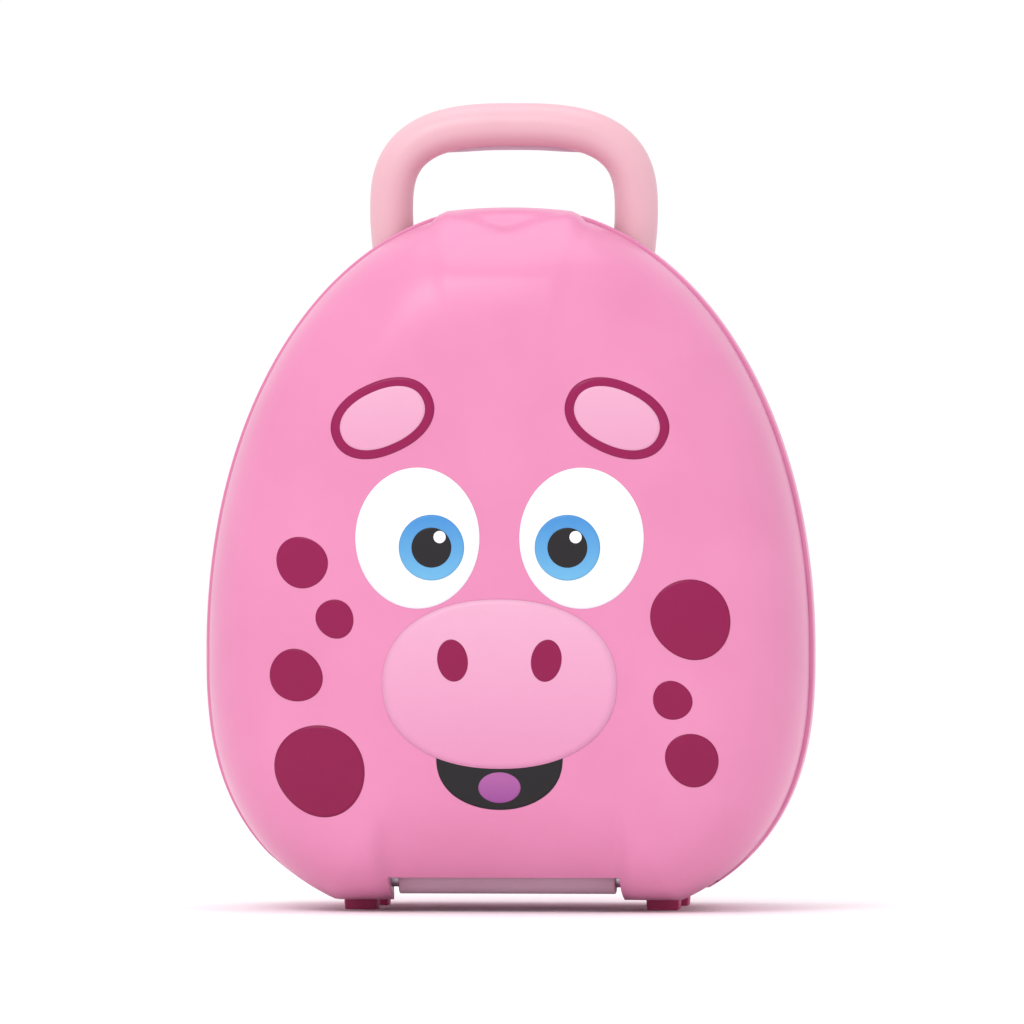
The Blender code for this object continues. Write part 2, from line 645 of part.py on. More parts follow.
def make_seat_deck():
    skirt_inner = inset(DECK_OUTLINE, WALL)
    skirt_y, drip_y = DECK_BACK_Y + DECK_SKIRT, DECK_Y + DRIP_DEPTH
    rings = [
        at_depth(DECK_OUTLINE, DECK_Y),
        at_depth(mouth(WALL + LIP_HEIGHT), DECK_Y),
        guard_ring(WALL, 0.5),
        guard_ring(WALL * 0.8),
        guard_ring(WALL * 0.2),
        at_depth(mouth(0), DECK_Y),
        at_depth(mouth(0), drip_y),
        at_depth(mouth(WALL), drip_y),
        at_depth(mouth(WALL), DECK_BACK_Y),
        at_depth(skirt_inner, DECK_BACK_Y),
        at_depth(skirt_inner, skirt_y),
        at_depth(DECK_OUTLINE, skirt_y),
    ]
    deck = skin("seat_deck", rings, looped=True)
    envelope = skin("envelope", [at_depth(DECK_OUTLINE, DECK_Y), at_depth(DECK_OUTLINE, skirt_y)])
    fenders = []
    for fender in lobe_relief(WALL):
        copy = envelope.copy()
        copy.data = envelope.data.copy()
        bpy.context.scene.collection.objects.link(copy)
        fenders.append(combine(fender, [copy], "INTERSECT"))
    bpy.data.objects.remove(envelope)
    web_low = BASE_FLOOR + WALL + FIT + GAP
    web = block(
        "web",
        (-BARREL_HALF_LENGTH, HINGE_Y, web_low),
        (BARREL_HALF_LENGTH, DECK_BACK_Y, web_low + HINGE_WEB),
    )
    barrel = along_hinge("barrel", -BARREL_HALF_LENGTH, BARREL_HALF_LENGTH, BARREL_RADIUS, 24)
    bosses = []
    skin_y, boss_end = DECK_Y + DECK_THICKNESS / 2, TOWER_TOP_Y + BOSS_SOCKET - GAP
    for i, (x, z) in enumerate(tower_places()):
        bosses.append(rod(f"boss_{i}", (x, skin_y, z), (x, boss_end, z), DECK_BOSS_RADIUS, 16))
    combine(deck, fenders + [web, barrel] + bosses, "UNION")
    bore = along_hinge("hinge_bore", -CUTTER_REACH, CUTTER_REACH, PIN_RADIUS + PIN_CLEARANCE)
    cuts = lobe_relief(0) + [bore]
    for i, (x, z) in enumerate(tower_places()):
        cuts.append(rod(f"pilot_{i}", (x, skin_y, z), (x, SCREW_SHOULDER_Y, z), SCREW_HOLE_RADIUS, 10))
    half_slot = LATCH_WIDTH / 2 + LATCH_CLEARANCE
    cuts.append(
        block(
            "latch_window",
            (-half_slot, DECK_Y - WALL, LATCH_Z - LATCH_THICKNESS / 2 - LATCH_CLEARANCE),
            (half_slot, DECK_BACK_Y + WALL, LATCH_Z + LATCH_THICKNESS / 2 + LATCH_NOSE + LATCH_CLEARANCE),
        )
    )
    return combine(deck, cuts, "DIFFERENCE")


def bowl_offset(share):
    """How far the bowl's inside is outside the mouth's outline, from its rim (0) to its floor (1)."""
    below = max(0, share - BOWL_LAND) / (1 - BOWL_LAND)
    rounded = (1 - BOWL_STRAIGHT_SHARE) * below**BOWL_ROUND_POWER
    return BOWL_MOUTH - BOWL_TAPER * (BOWL_STRAIGHT_SHARE * below + rounded)


def make_bowl():
    inside = []
    outside = []
    for share in BOWL_SHARES + (BOWL_LAND,):
        offset = bowl_offset(share)
        y = FLANGE_Y + BOWL_DEPTH * share
        inside.append(at_depth(mouth(offset), y - WALL))
        outside.insert(0, at_depth(mouth(offset + WALL), y))
    rings = [at_depth(mouth(bowl_offset(1) - BOWL_FLOOR_EDGE), FLANGE_Y + BOWL_DEPTH - WALL)] + inside
    rings += [
        at_depth(mouth(BOWL_MOUTH), FLANGE_Y),
        at_depth(mouth(BOWL_FLANGE), FLANGE_Y),
        at_depth(mouth(BOWL_FLANGE), FLANGE_BACK_Y),
        at_depth(mouth(BOWL_MOUTH + WALL), FLANGE_BACK_Y),
    ]
    rings += outside
    return skin("bowl", rings)


def make_standing_foot(name, x, y):
    """A tapered foot under the base, cut to the base's curve, with a stem into the base's wall."""
    half_x, half_y = STANDING_FOOT_WIDTH / 2, STANDING_FOOT_LENGTH / 2
    top = BASE_FLOOR + 2 * WALL + REAR_FOOT_BEHIND * BASE_DRAFT
    rings = []
    for z, taper in ((0, FOOT_TAPER), (top, 0)):
        corner_x, corner_y = half_x - taper, half_y - taper
        signs = ((1, 1), (-1, 1), (-1, -1), (1, -1))
        rings.append([Vector((x + sx * corner_x, y + sy * corner_y, z)) for sx, sy in signs])
    foot = skin(name, rings)
    depths = (-WALL, 0, BASE_LAND, BASE_STRAIGHT * BASE_MIDDLE, BASE_STRAIGHT)
    under = skin("under", base_rings(inset(BASE_OUTLINE, -GAP), depths))
    combine(foot, [under], "DIFFERENCE")
    stem = rod("stem", (x, y, BASE_FLOOR / 2), (x, y, FOOT_STEM_TOP), FOOT_STEM_RADIUS, 12)
    return combine(foot, [stem], "UNION")


def make_back_foot(name, x, z):
    """A round pad on the base's flat back, with a plug in the screw's well."""
    pad_y = SHELL_BACK_Y + GAP
    edge_radius = BACK_FOOT_RADIUS - BACK_FOOT_TAPER
    pad = rod(name, (x, pad_y, z), (x, BACK_Y, z), BACK_FOOT_RADIUS, 20, edge_radius)
    plug_end = BACK_Y - BACK_FOOT_HEIGHT / 2
    plug = rod("plug", (x, pad_y - 2 * WALL, z), (x, plug_end, z), WELL_RADIUS - FIT, 14)
    return combine(pad, [plug], "UNION")


def make_pivot_pin(name, side):
    """The pin that one leg of the handle turns on, with its head inside the base."""
    inner, outer = pocket_sides(side)
    seat, tip = inner - side * (WALL + GAP), outer + side * (WALL + GAP)
    head_end = seat - side * PIN_HEAD_THICKNESS
    start = (seat + head_end) / 2
    pin = along_pivot(name, start, tip, PIVOT_PIN_RADIUS)
    return combine(pin, [along_pivot("head", head_end, seat, PIN_HEAD_RADIUS)], "UNION")


# ---------------------------------------------------------------- handle
# The handle is made with its front at y = 0, and moved to its pivot when it is whole.
def handle_path():
    """The middle of the grip, from one pivot up over the top to the other, as (x, z) points."""
    rise = HANDLE_TOP - GRIP_WIDTH / 2 - HANDLE_SHOULDER_Z
    right = [(HANDLE_FOOT_HALF_WIDTH, PIVOT_Z)]
    right.append(((HANDLE_FOOT_HALF_WIDTH + HANDLE_HALF_WIDTH) / 2, (PIVOT_Z + HANDLE_SHOULDER_Z) / 2))
    for i in range(HANDLE_STEPS // 2):
        angle = math.pi / 2 * i / (HANDLE_STEPS // 2)
        x = HANDLE_HALF_WIDTH * math.cos(angle) ** (2 / HANDLE_POWER)
        z = HANDLE_SHOULDER_Z + rise * math.sin(angle) ** (2 / HANDLE_POWER)
        right.append((x, z))
    top = [(0, HANDLE_TOP - GRIP_WIDTH / 2)]
    return right + top + [(-x, z) for x, z in reversed(right)]


def handle_tube(name, thinner):
    """The grip's rounded section swept along its path."""
    path = handle_path()
    rings = []
    for i, (x, z) in enumerate(path):
        before, after = path[max(0, i - 1)], path[min(len(path) - 1, i + 1)]
        along = Vector((after[0] - before[0], 0, after[1] - before[1])).normalized()
        across = Vector((along.z, 0, -along.x))
        ring = []
        for j in range(HANDLE_SECTION_SIDES):
            angle = 2 * math.pi * j / HANDLE_SECTION_SIDES
            outward = across * (GRIP_WIDTH / 2 - thinner) * math.cos(angle)
            depthways = Vector((0, (GRIP_DEPTH / 2 - thinner) * math.sin(angle), 0))
            ring.append(Vector((x, GRIP_DEPTH / 2, z)) + outward + depthways)
        rings.append(ring)
    return skin(name, rings)


def handle_screw_places():
    """On the grip's middle line: one at the top, and one low in each leg."""
    path = handle_path()
    return [path[len(path) // 2], path[2], path[-3]]


def across_handle(name, side, width, radius):
    """A rod along the pivot, centred on one leg."""
    middle = Vector((side * HANDLE_FOOT_HALF_WIDTH, GRIP_DEPTH / 2, PIVOT_Z))
    half = Vector((width / 2, 0, 0))
    return rod(name, middle - half, middle + half, radius, 24)


def make_handle():
    """The two halves of the handle, which meet in the plane of its pivot."""
    solid = handle_tube("handle_front", 0)
    core = handle_tube("handle_core", GRIP_WALL)
    hubs, walls, cuts = [], [], []
    bore_radius = PIVOT_PIN_RADIUS + PIN_CLEARANCE
    for side in (-1, 1):
        hubs.append(across_handle(f"hub_{side}", side, HUB_WIDTH, HUB_RADIUS))
        walls.append(across_handle(f"hub_wall_{side}", side, HUB_WIDTH - 2 * GRIP_WALL, HUB_RADIUS - GAP))
        cuts.append(across_handle(f"hub_bore_{side}", side, 2 * GRIP_WIDTH, bore_radius))
    for i, (x, z) in enumerate(handle_screw_places()):
        ends = (x, GRIP_WALL / 2, z), (x, GRIP_DEPTH - GRIP_WALL / 2, z)
        walls.append(rod(f"screw_boss_{i}", *ends, HANDLE_BOSS_RADIUS, 14))
        tip_y, seat_y = GRIP_WALL, GRIP_DEPTH - HANDLE_SCREW_SINK
        cuts.append(rod(f"screw_way_{i}", (x, tip_y, z), (x, seat_y + GAP, z), SCREW_HOLE_RADIUS, 10))
        well_end = (x, GRIP_DEPTH + GRIP_WALL, z)
        cuts.append(rod(f"head_well_{i}", (x, seat_y, z), well_end, SCREW_HEAD_RADIUS + FIT, 15))
    combine(solid, hubs, "UNION")
    hollow(solid, core, walls, cuts)
    back = solid.copy()
    back.data = solid.data.copy()
    back.name = "handle_back"
    bpy.context.scene.collection.objects.link(back)
    far = CUTTER_REACH
    front_end, back_start = GRIP_DEPTH / 2 - GAP / 2, GRIP_DEPTH / 2 + GAP / 2
    behind = block("behind", (-far, front_end, 0), (far, far, 2 * far))
    ahead = block("ahead", (-far, -far, 0), (far, back_start, 2 * far))
    halves = combine(solid, [behind], "DIFFERENCE"), combine(back, [ahead], "DIFFERENCE")
    for half in halves:
        half.data.transform(Matrix.Translation((0, PIVOT_Y - GRIP_DEPTH / 2, 0)))
    return halves


# ---------------------------------------------------------------- assembly
def build():
    clear_scene()
    pink = plastic("moulded_pink", PINK, 0.38)
    pale = plastic("moulded_pale_pink", PALE_PINK, 0.4)
    deep = plastic("foot_rubber", DEEP_PINK, 0.6)
    seal = plastic("seal_rubber", SEAL_WHITE, 0.55)
    steel = plastic("zinc_plated_steel", STEEL, 0.35, 1.0)

    finish(make_base_shell(), pink)
    finish(make_seat_deck(), pale)
    finish(make_bowl(), pale)
    for i, (x, z) in enumerate(tower_places(), 1):
        head_y = SCREW_SHOULDER_Y + GAP + SCREW_HEAD_HEIGHT
        finish(make_screw(f"deck_screw_{i}", x, z, head_y, DECK_BACK_Y), steel)
        finish(make_back_foot(f"back_foot_{i}", x, z), deep)
    for i, (x, y) in enumerate(standing_foot_places(), 1):
        finish(make_standing_foot(f"standing_foot_{i}", x, y), deep)
    for side, name in ((-1, "handle_pin_left"), (1, "handle_pin_right")):
        finish(make_pivot_pin(name, side), steel)

    lid = pivot("lid_axis", (0, HINGE_Y, HINGE_Z))
    finish(make_lid_shell(), pink, lid)
    finish(make_lid_liner(), pale, lid)
    finish(make_lid_seal(), seal, lid)
    for i, (x, z) in enumerate(lid_screw_places(), 1):
        head_y = LINER_Y + GAP + SCREW_HEAD_HEIGHT
        tip_y = LINER_Y - LINER_WALL - LID_SCREW_LENGTH + 2 * GAP
        finish(make_screw(f"liner_screw_{i}", x, z, head_y, tip_y), steel, lid)
    pin_half = SLOT_HALF_WIDTH + EAR_THICKNESS
    finish(along_hinge("hinge_pin", -pin_half, pin_half, PIN_RADIUS), steel, lid)

    handle = pivot("handle_axis", (0, PIVOT_Y, PIVOT_Z))
    for half in make_handle():
        finish(half, pale, handle)
    for i, (x, z) in enumerate(handle_screw_places(), 1):
        head_y = PIVOT_Y + GRIP_DEPTH / 2 - HANDLE_SCREW_SINK + GAP + SCREW_HEAD_HEIGHT
        tip_y = PIVOT_Y - GRIP_DEPTH / 2 + GRIP_WALL + FIT
        finish(make_screw(f"handle_screw_{i}", x, z, head_y, tip_y), steel, handle)


build()
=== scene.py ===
# %% [markdown]
# # A child's carry-case potty, closed and standing
# The real one is an egg-shaped case of moulded polypropylene. Its lid hangs on a hinge at the bottom, and
# a carrying handle folds back over its top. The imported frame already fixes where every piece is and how
# it moves. So each piece is made anew around that frame, with the same sizes, finer surfaces and its own
# finish.

# %% The frame
from math import asin, copysign, cos, exp, hypot, pi, radians, sin, sqrt, tau

import bmesh
import bpy
from mathutils import Matrix, Vector
from mathutils.bvhtree import BVHTree


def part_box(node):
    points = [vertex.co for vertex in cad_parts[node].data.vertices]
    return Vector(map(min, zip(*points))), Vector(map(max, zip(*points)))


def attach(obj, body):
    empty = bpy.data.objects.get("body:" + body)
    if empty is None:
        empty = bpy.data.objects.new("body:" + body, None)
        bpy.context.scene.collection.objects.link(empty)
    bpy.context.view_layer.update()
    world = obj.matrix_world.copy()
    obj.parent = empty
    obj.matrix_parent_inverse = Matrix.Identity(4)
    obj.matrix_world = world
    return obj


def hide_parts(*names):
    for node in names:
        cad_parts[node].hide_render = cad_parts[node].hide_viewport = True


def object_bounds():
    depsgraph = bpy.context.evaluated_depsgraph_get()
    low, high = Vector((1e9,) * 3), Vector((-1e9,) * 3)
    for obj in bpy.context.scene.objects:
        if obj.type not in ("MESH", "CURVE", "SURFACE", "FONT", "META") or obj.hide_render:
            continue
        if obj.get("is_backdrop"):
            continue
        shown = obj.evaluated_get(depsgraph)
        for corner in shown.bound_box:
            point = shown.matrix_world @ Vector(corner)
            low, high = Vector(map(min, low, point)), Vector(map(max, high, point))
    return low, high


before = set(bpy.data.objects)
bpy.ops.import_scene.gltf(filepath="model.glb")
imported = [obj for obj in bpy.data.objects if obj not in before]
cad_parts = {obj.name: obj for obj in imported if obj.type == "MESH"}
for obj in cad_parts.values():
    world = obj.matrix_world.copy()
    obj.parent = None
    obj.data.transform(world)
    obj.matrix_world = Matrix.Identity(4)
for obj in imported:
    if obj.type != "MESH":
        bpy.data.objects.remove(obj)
scene, ops = bpy.context.scene, bmesh.ops
MM = 0.001
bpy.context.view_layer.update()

# %% [markdown]
# # The studio
# A product like this is shot on white, in light from all sides, with one large soft light above and to
# the left. A backdrop wall would hide the case from behind. So the air itself is white, and a very large
# sheet of paper is the floor: both are as bright as white can be, so no horizon shows.

# %% Camera
CAMERA_TURN = radians(4.9)  # towards the case's +X side
CAMERA_RISE = radians(0.6)
CAMERA_DISTANCE = 7.0  # a long lens from far away, which hardly narrows what is further back
VIEW_WIDTH = 0.4403  # metres across the frame at the case
SENSOR = 36.0

ahead = Vector((
    sin(CAMERA_TURN) * cos(CAMERA_RISE),
    -cos(CAMERA_TURN) * cos(CAMERA_RISE),
    sin(CAMERA_RISE),
))
rightwards = Vector((cos(CAMERA_TURN), sin(CAMERA_TURN), 0))
aim = Vector((0, 0, 0.1703)) - 0.0017 * rightwards
lens = bpy.data.cameras.new("camera")
lens.sensor_width = SENSOR
lens.lens = SENSOR * CAMERA_DISTANCE / VIEW_WIDTH
camera = bpy.data.objects.new("camera", lens)
camera.location = aim + CAMERA_DISTANCE * ahead
camera.rotation_euler = ahead.to_track_quat("Z", "Y").to_euler()
scene.collection.objects.link(camera)
scene.camera = camera
print("lens:", round(lens.lens, 1), "mm")

# %% Lights
scene.view_settings.view_transform = "Standard"
world = bpy.data.worlds.new("studio_air")
world.use_nodes = True
air = world.node_tree.nodes["Background"].inputs
air["Color"].default_value, air["Strength"].default_value = (1, 1, 1, 1), 1.03
scene.world = world


def softbox(name, place, size, power):
    """A square area light that looks at the middle of the case."""
    lamp = bpy.data.lights.new(name, "AREA")
    lamp.size = size
    lamp.energy = power
    holder = bpy.data.objects.new(name, lamp)
    holder.location = place
    holder.rotation_euler = (Vector(place) - aim).to_track_quat("Z", "Y").to_euler()
    scene.collection.objects.link(holder)


softbox("key_light", (-0.45, -1.35, 1.3), 0.65, 8.8)
softbox("top_light", (-0.05, 0.1, 1.5), 0.8, 3.5)

# %% [markdown]
# # How a material is put together
# Every finish is a moulded or pressed surface: nearly one colour, but never perfectly even. A picture
# could do that, but nodes need no unwrapping and stay sharp at any distance. So each finish is a small
# tree: a broad noise that shifts the colour and the gloss a little, and a fine one that roughens the
# surface.

# %% Colours and nodes
def from_hex(text):
    """An sRGB hex colour as linear red, green, blue and alpha."""
    channels = [int(text[i : i + 2], 16) / 255 for i in (1, 3, 5)]
    return [c / 12.92 if c <= 0.04045 else ((c + 0.055) / 1.055) ** 2.4 for c in channels] + [1.0]


def add_node(tree, kind, settings=None, links=None):
    """Adds a node, sets its values, and links sockets, or other nodes' first outputs, to its inputs."""
    node = tree.nodes.new("ShaderNode" + kind)
    for key, value in (settings or {}).items():
        if key in node.inputs:
            node.inputs[key].default_value = value
        else:
            setattr(node, key, value)
    for key, source in (links or {}).items():
        output = source if isinstance(source, bpy.types.NodeSocket) else source.outputs[0]
        tree.links.new(output, node.inputs[key])
    return node


def blank(name):
    """A new material, its tree, its shader and the link that gives a node the piece's coordinates."""
    material = bpy.data.materials.new(name)
    material.use_nodes = True
    tree = material.node_tree
    place = add_node(tree, "TexCoord").outputs["Object"]
    return material, tree, tree.nodes["Principled BSDF"], {"Vector": place}


def wire(tree, shader, colour, gloss, surface):
    """Links the last nodes to the shader."""
    for source, socket in ((colour, "Base Color"), (gloss, "Roughness"), (surface, "Normal")):
        tree.links.new(source.outputs[0], shader.inputs[socket])


CLOUD, PATCH, SWELL = 45 * MM, 12 * MM, 60 * MM  # how wide the unevenness of colour, gloss and surface is
GLOSS_SPREAD = 0.05
RUB_START, RUB_FULL, RUBBED_COLOUR = 0.53, 0.62, "#FFF4F8"  # how sharp an edge is where it is rubbed


def moulded(name, light, dark, roughness, grain_mm, grain_height_mm, wear=0.0, wave_mm=0.03, **values):
    """A moulded surface: two close shades, uneven gloss, the mould's fine grain and rubbed edges."""
    material, tree, shader, here = blank(name)
    cloud = add_node(tree, "TexNoise", {"Scale": 1 / CLOUD, "Detail": 3.0}, here)
    spread = add_node(tree, "MapRange", {"From Min": 0.3, "From Max": 0.7}, {"Value": cloud})
    shades = {"Color1": from_hex(dark), "Color2": from_hex(light)}
    colour = add_node(tree, "MixRGB", shades, {"Fac": spread})
    edge = add_node(tree, "NewGeometry").outputs["Pointiness"]
    rubbing = {"From Min": RUB_START, "From Max": RUB_FULL, "To Max": wear}
    rubbed = add_node(tree, "MapRange", rubbing, {"Value": edge})
    over = {"Color2": from_hex(RUBBED_COLOUR)}
    worn = add_node(tree, "MixRGB", over, {"Fac": rubbed, "Color1": colour})
    patch = add_node(tree, "TexNoise", {"Scale": 1 / PATCH, "Detail": 4.0}, here)
    uneven = {"To Min": roughness - GLOSS_SPREAD, "To Max": roughness + GLOSS_SPREAD}
    gloss = add_node(tree, "MapRange", uneven, {"Value": patch})
    fine = add_node(tree, "TexNoise", {"Scale": 1 / (grain_mm * MM), "Detail": 2.0}, here)
    bump = {"Strength": 1.0, "Distance": grain_height_mm * MM}
    grain = add_node(tree, "Bump", bump, {"Height": fine})
    broad = add_node(tree, "TexNoise", {"Scale": 1 / SWELL, "Detail": 1.0}, here)
    wave = {"Strength": 1.0, "Distance": wave_mm * MM}
    surface = add_node(tree, "Bump", wave, {"Height": broad, "Normal": grain})
    wire(tree, shader, worn, gloss, surface)
    for socket, value in values.items():
        shader.inputs[socket.replace("_", " ")].default_value = value
    return material


# %% [markdown]
# # The finishes
# The case is polypropylene with a satin grain that the mould's spark-eroded steel leaves. The grain is
# about 0.3 mm wide on the real one; it is drawn at 0.8 mm, because a finer one wouldn't show. Inside, the
# surface is smoother. The feet are a rubber-like elastomer, dull, in a deep magenta that is partly
# painted
# shade: darker than the shell, for the shade under the case. The screws are zinc-plated steel.

# %% Materials
FINISHES = {
    "shell_pink": moulded(
        "moulded_polypropylene_pink", "#D985AD", "#D47FA7", 0.33, 0.8, 0.012, wear=0.08, IOR=1.45,
        Specular_IOR_Level=0.42,
    ),
    "inner_pale_pink": moulded(
        "moulded_polypropylene_lilac", "#CBA8BA", "#C49FB2", 0.34, 0.8, 0.008, wear=0.05, IOR=1.49,
    ),
    "handle_pale_pink": moulded(
        "moulded_polypropylene_pale_pink", "#DCACB7", "#D7A5B1", 0.40, 0.8, 0.010, wear=0.08, IOR=1.49,
    ),
    # The feet's deep magenta, darker than the shell, is partly painted shade: it stands for the shade
    # under the case.
    "foot_rubber": moulded(
        "moulded_elastomer_magenta_with_painted_shade", "#C23A70", "#B53267", 0.55, 0.9, 0.02, wear=0.04, IOR=1.5,
        Specular_IOR_Level=0.35,
    ),
    "seal_rubber": moulded("silicone_white", "#EFE9EC", "#E2DBE0", 0.5, 0.9, 0.012, IOR=1.43),
    "screw_steel": moulded("zinc_plated_steel", "#C9CBD0", "#B4B6BC", 0.3, 0.5, 0.006, Metallic=1.0),
}
floor_paper = moulded("matt_white_paper", "#FEFEFE", "#FDFDFD", 0.9, 1.5, 0.004, wave_mm=0.0, IOR=1.4)

# %% Floor
FLOOR_HALF_WIDTH = 30.0


def shown(name, bm, material):
    """Puts a shape in the scene as a smooth mesh with a material."""
    mesh = bpy.data.meshes.new(name)
    bm.to_mesh(mesh)
    bm.free()
    mesh.materials.append(material)
    mesh.shade_smooth()
    made = bpy.data.objects.new(name, mesh)
    scene.collection.objects.link(made)
    return made


floor_shape = bmesh.new()
ops.create_grid(floor_shape, x_segments=8, y_segments=8, size=FLOOR_HALF_WIDTH)
shown("floor", floor_shape, floor_paper)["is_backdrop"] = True

# %% [markdown]
# # Tools for the shells
# The lid, the base, the deck and the bowl are thin walls that follow an outline. Such a wall could be a
# bent grid or a carved block. Here it starts as a circle whose edges are extruded ring after ring, and
# each ring is laid on its outline. That keeps even quads, which take the light smoothly.

# %% Lofting, rounding and carving
SEGMENTS = 256  # round each ring
SHARP_ANGLE = radians(38)


def only(kind, items):
    return [item for item in items if isinstance(item, kind)]


def loft(rings, looped=False):
    """Extrudes a circle ring by ring, and lays each ring on its points. The ends are closed or joined."""
    bm = bmesh.new()
    order = bm.verts.layers.int.new("order")
    ops.create_circle(bm, segments=len(rings[0]), radius=1)
    bm.verts.ensure_lookup_table()
    for number, vert in enumerate(bm.verts):
        vert[order] = number
        vert.co = rings[0][number]
    first = edges = bm.edges[:]
    for ring in rings[1:]:
        grown = ops.extrude_edge_only(bm, edges=edges)["geom"]
        fresh = set(only(bmesh.types.BMVert, grown))
        for vert in fresh:
            vert.co = ring[vert[order]]
        edges = [edge for edge in only(bmesh.types.BMEdge, grown) if fresh.issuperset(edge.verts)]
    if looped:
        ops.bridge_loops(bm, edges=first + edges)
    else:
        ops.edgeloop_fill(bm, edges=first)
        ops.edgeloop_fill(bm, edges=edges)
    return outwards(bm)


def outwards(bm):
    """Merges doubles and turns every face out."""
    ops.remove_doubles(bm, verts=bm.verts, dist=0.002 * MM)
    ops.recalc_face_normals(bm, faces=bm.faces)
    if bm.calc_volume(signed=True) < 0:
        ops.reverse_faces(bm, faces=bm.faces)
    return bm


def soften(bm, offset, segments=2, steeper_than=40):
    """Rounds every edge where two faces meet at more than an angle in degrees."""
    joined = [edge for edge in bm.edges if len(edge.link_faces) == 2]
    sharp = [edge for edge in joined if edge.calc_face_angle() > radians(steeper_than)]
    ops.bevel(
        bm, geom=sharp, offset=offset, segments=segments, profile=0.5, affect="EDGES", material=-1,
        clamp_overlap=False,
    )
    return bm


def slab(profile, start, end):
    """A flat outline of (y, z) points, pulled along X from start to end."""
    bm = bmesh.new()
    face = bm.faces.new([bm.verts.new((start, y, z)) for y, z in profile])
    pulled = ops.extrude_face_region(bm, geom=[face])["geom"]
    ops.translate(bm, vec=(end - start, 0, 0), verts=only(bmesh.types.BMVert, pulled))
    return outwards(bm)


def rod(start, end, radius, segments=48, end_radius=None):
    """A round bar or cone between two points."""
    start, end = Vector(start), Vector(end)
    bm = bmesh.new()
    ops.create_cone(
        bm, cap_ends=True, segments=segments, radius1=radius,
        radius2=radius if end_radius is None else end_radius, depth=(end - start).length,
    )
    turn = (end - start).to_track_quat("Z", "Y").to_matrix().to_4x4()
    ops.transform(bm, matrix=Matrix.Translation((start + end) / 2) @ turn, verts=bm.verts)
    return bm


def bars(places, start_y, end_y, radius, segments=48):
    """Round bars along Y at each (x, z)."""
    return [rod((x, start_y, z), (x, end_y, z), radius, segments) for x, z in places]


def on_axis(axis, start, end, radius, segments=48):
    """A round bar along X, on the axis through a point."""
    return rod((start, axis.y, axis.z), (end, axis.y, axis.z), radius, segments)


def arc(radius, start, end, middle=(0, 0), steps=24):
    """Points on an arc about a middle, from one angle to another."""
    turns = [start + (end - start) * i / steps for i in range(steps + 1)]
    return [(middle[0] + radius * cos(a), middle[1] + radius * sin(a)) for a in turns]


def block(low, high):
    """A box between two corners."""
    bm = bmesh.new()
    ops.create_cube(bm, size=1)
    ops.scale(bm, vec=Vector(high) - Vector(low), verts=bm.verts)
    ops.translate(bm, vec=(Vector(low) + Vector(high)) / 2, verts=bm.verts)
    return bm


def gathered(shapes):
    """Several shapes in one bmesh."""
    whole = bmesh.new()
    for shape in shapes:
        mesh = bpy.data.meshes.new("gathered")
        shape.to_mesh(mesh)
        shape.free()
        whole.from_mesh(mesh)
        bpy.data.meshes.remove(mesh)
    return whole


def carve(shape, tools, operation="DIFFERENCE"):
    """One exact Boolean of a shape with tools that don't touch each other."""
    held = []
    for name, bm in (("shape", shape), ("tools", gathered(tools))):
        mesh = bpy.data.meshes.new(name)
        bm.to_mesh(mesh)
        bm.free()
        held.append(bpy.data.objects.new(name, mesh))
        scene.collection.objects.link(held[-1])
    body, cutter = held
    modifier = body.modifiers.new("carve", "BOOLEAN")
    modifier.operation = operation
    modifier.solver = "EXACT"
    modifier.object = cutter
    result = bmesh.new()
    result.from_object(body, bpy.context.evaluated_depsgraph_get())
    for spent in held:
        bpy.data.objects.remove(spent)
    ops.dissolve_degenerate(result, edges=result.edges, dist=0.002 * MM)
    return result


def piece(name, bm, slot, body, node):
    """A finished piece: its mesh, its finish, the body it rides on and the node it stands for."""
    made = shown(name, bm, FINISHES[slot])
    made.data.set_sharp_from_angle(angle=SHARP_ANGLE)
    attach(made, body)
    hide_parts(node)
    print(name, len(made.data.polygons), "faces")
    return made


# %% [markdown]
# # Outlines of the case
# Seen from the front, the case is an egg: a rounded arch above its widest line, and a squarer, flatter
# curve below. A superellipse gives both with one formula and two powers. The outlines of the lid, the
# base and the seat's opening all come from it, so whatever follows them lines up.

# %% Sizes read from the frame
base_low, base_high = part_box("base_shell")
lid_low, lid_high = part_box("lid_shell")
pin_low, pin_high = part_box("hinge_pin")
HINGE = (pin_low + pin_high) / 2
PART_Y = lid_high.y
LID_DEPTH = PART_Y - lid_low.y
CASE_HALF = base_high.x
LID_HALF = lid_high.x
LID_TOP, LID_FLOOR = lid_high.z, lid_low.z
BASE_TOP, BASE_CAP, BASE_FLOOR = lid_high.z + 1.0 * MM, base_high.z, base_low.z
WALL, GAP = 2.5 * MM, 0.3 * MM
HANDS = ((-1, "left"), (1, "right"))
WIDEST_Z = 111 * MM
UPPER_POWER, LOWER_POWER = 2.08, 2.6
BELLY_DROP = 11.7 * MM
print("hinge at", [round(v / MM, 2) for v in HINGE], "mm, lid", round(LID_DEPTH / MM, 1), "mm deep")


# %% Outline functions
def signed_power(value, power):
    """A power that keeps the sign."""
    return copysign(abs(value) ** power, value)


def rounded(power, count=SEGMENTS):
    """A superellipse of that power about the origin, one unit wide and high on each side."""
    turns = [tau * i / count for i in range(count)]
    return [(signed_power(cos(a), 2 / power), signed_power(sin(a), 2 / power)) for a in turns]


def egg(half_width, top, bottom, cap, drop):
    """The case's outline as (x, z) points, counter-clockwise from +X."""
    points = []
    for i in range(SEGMENTS):
        angle = tau * i / SEGMENTS
        c, s = cos(angle), sin(angle)
        upper = s >= 0
        power = UPPER_POWER if upper else LOWER_POWER
        reach = top - WIDEST_Z if upper else WIDEST_Z - bottom + drop
        z = WIDEST_Z + reach * signed_power(s, 2 / power)
        points.append((half_width * signed_power(c, 2 / power), min(max(z, bottom), cap)))
    return points


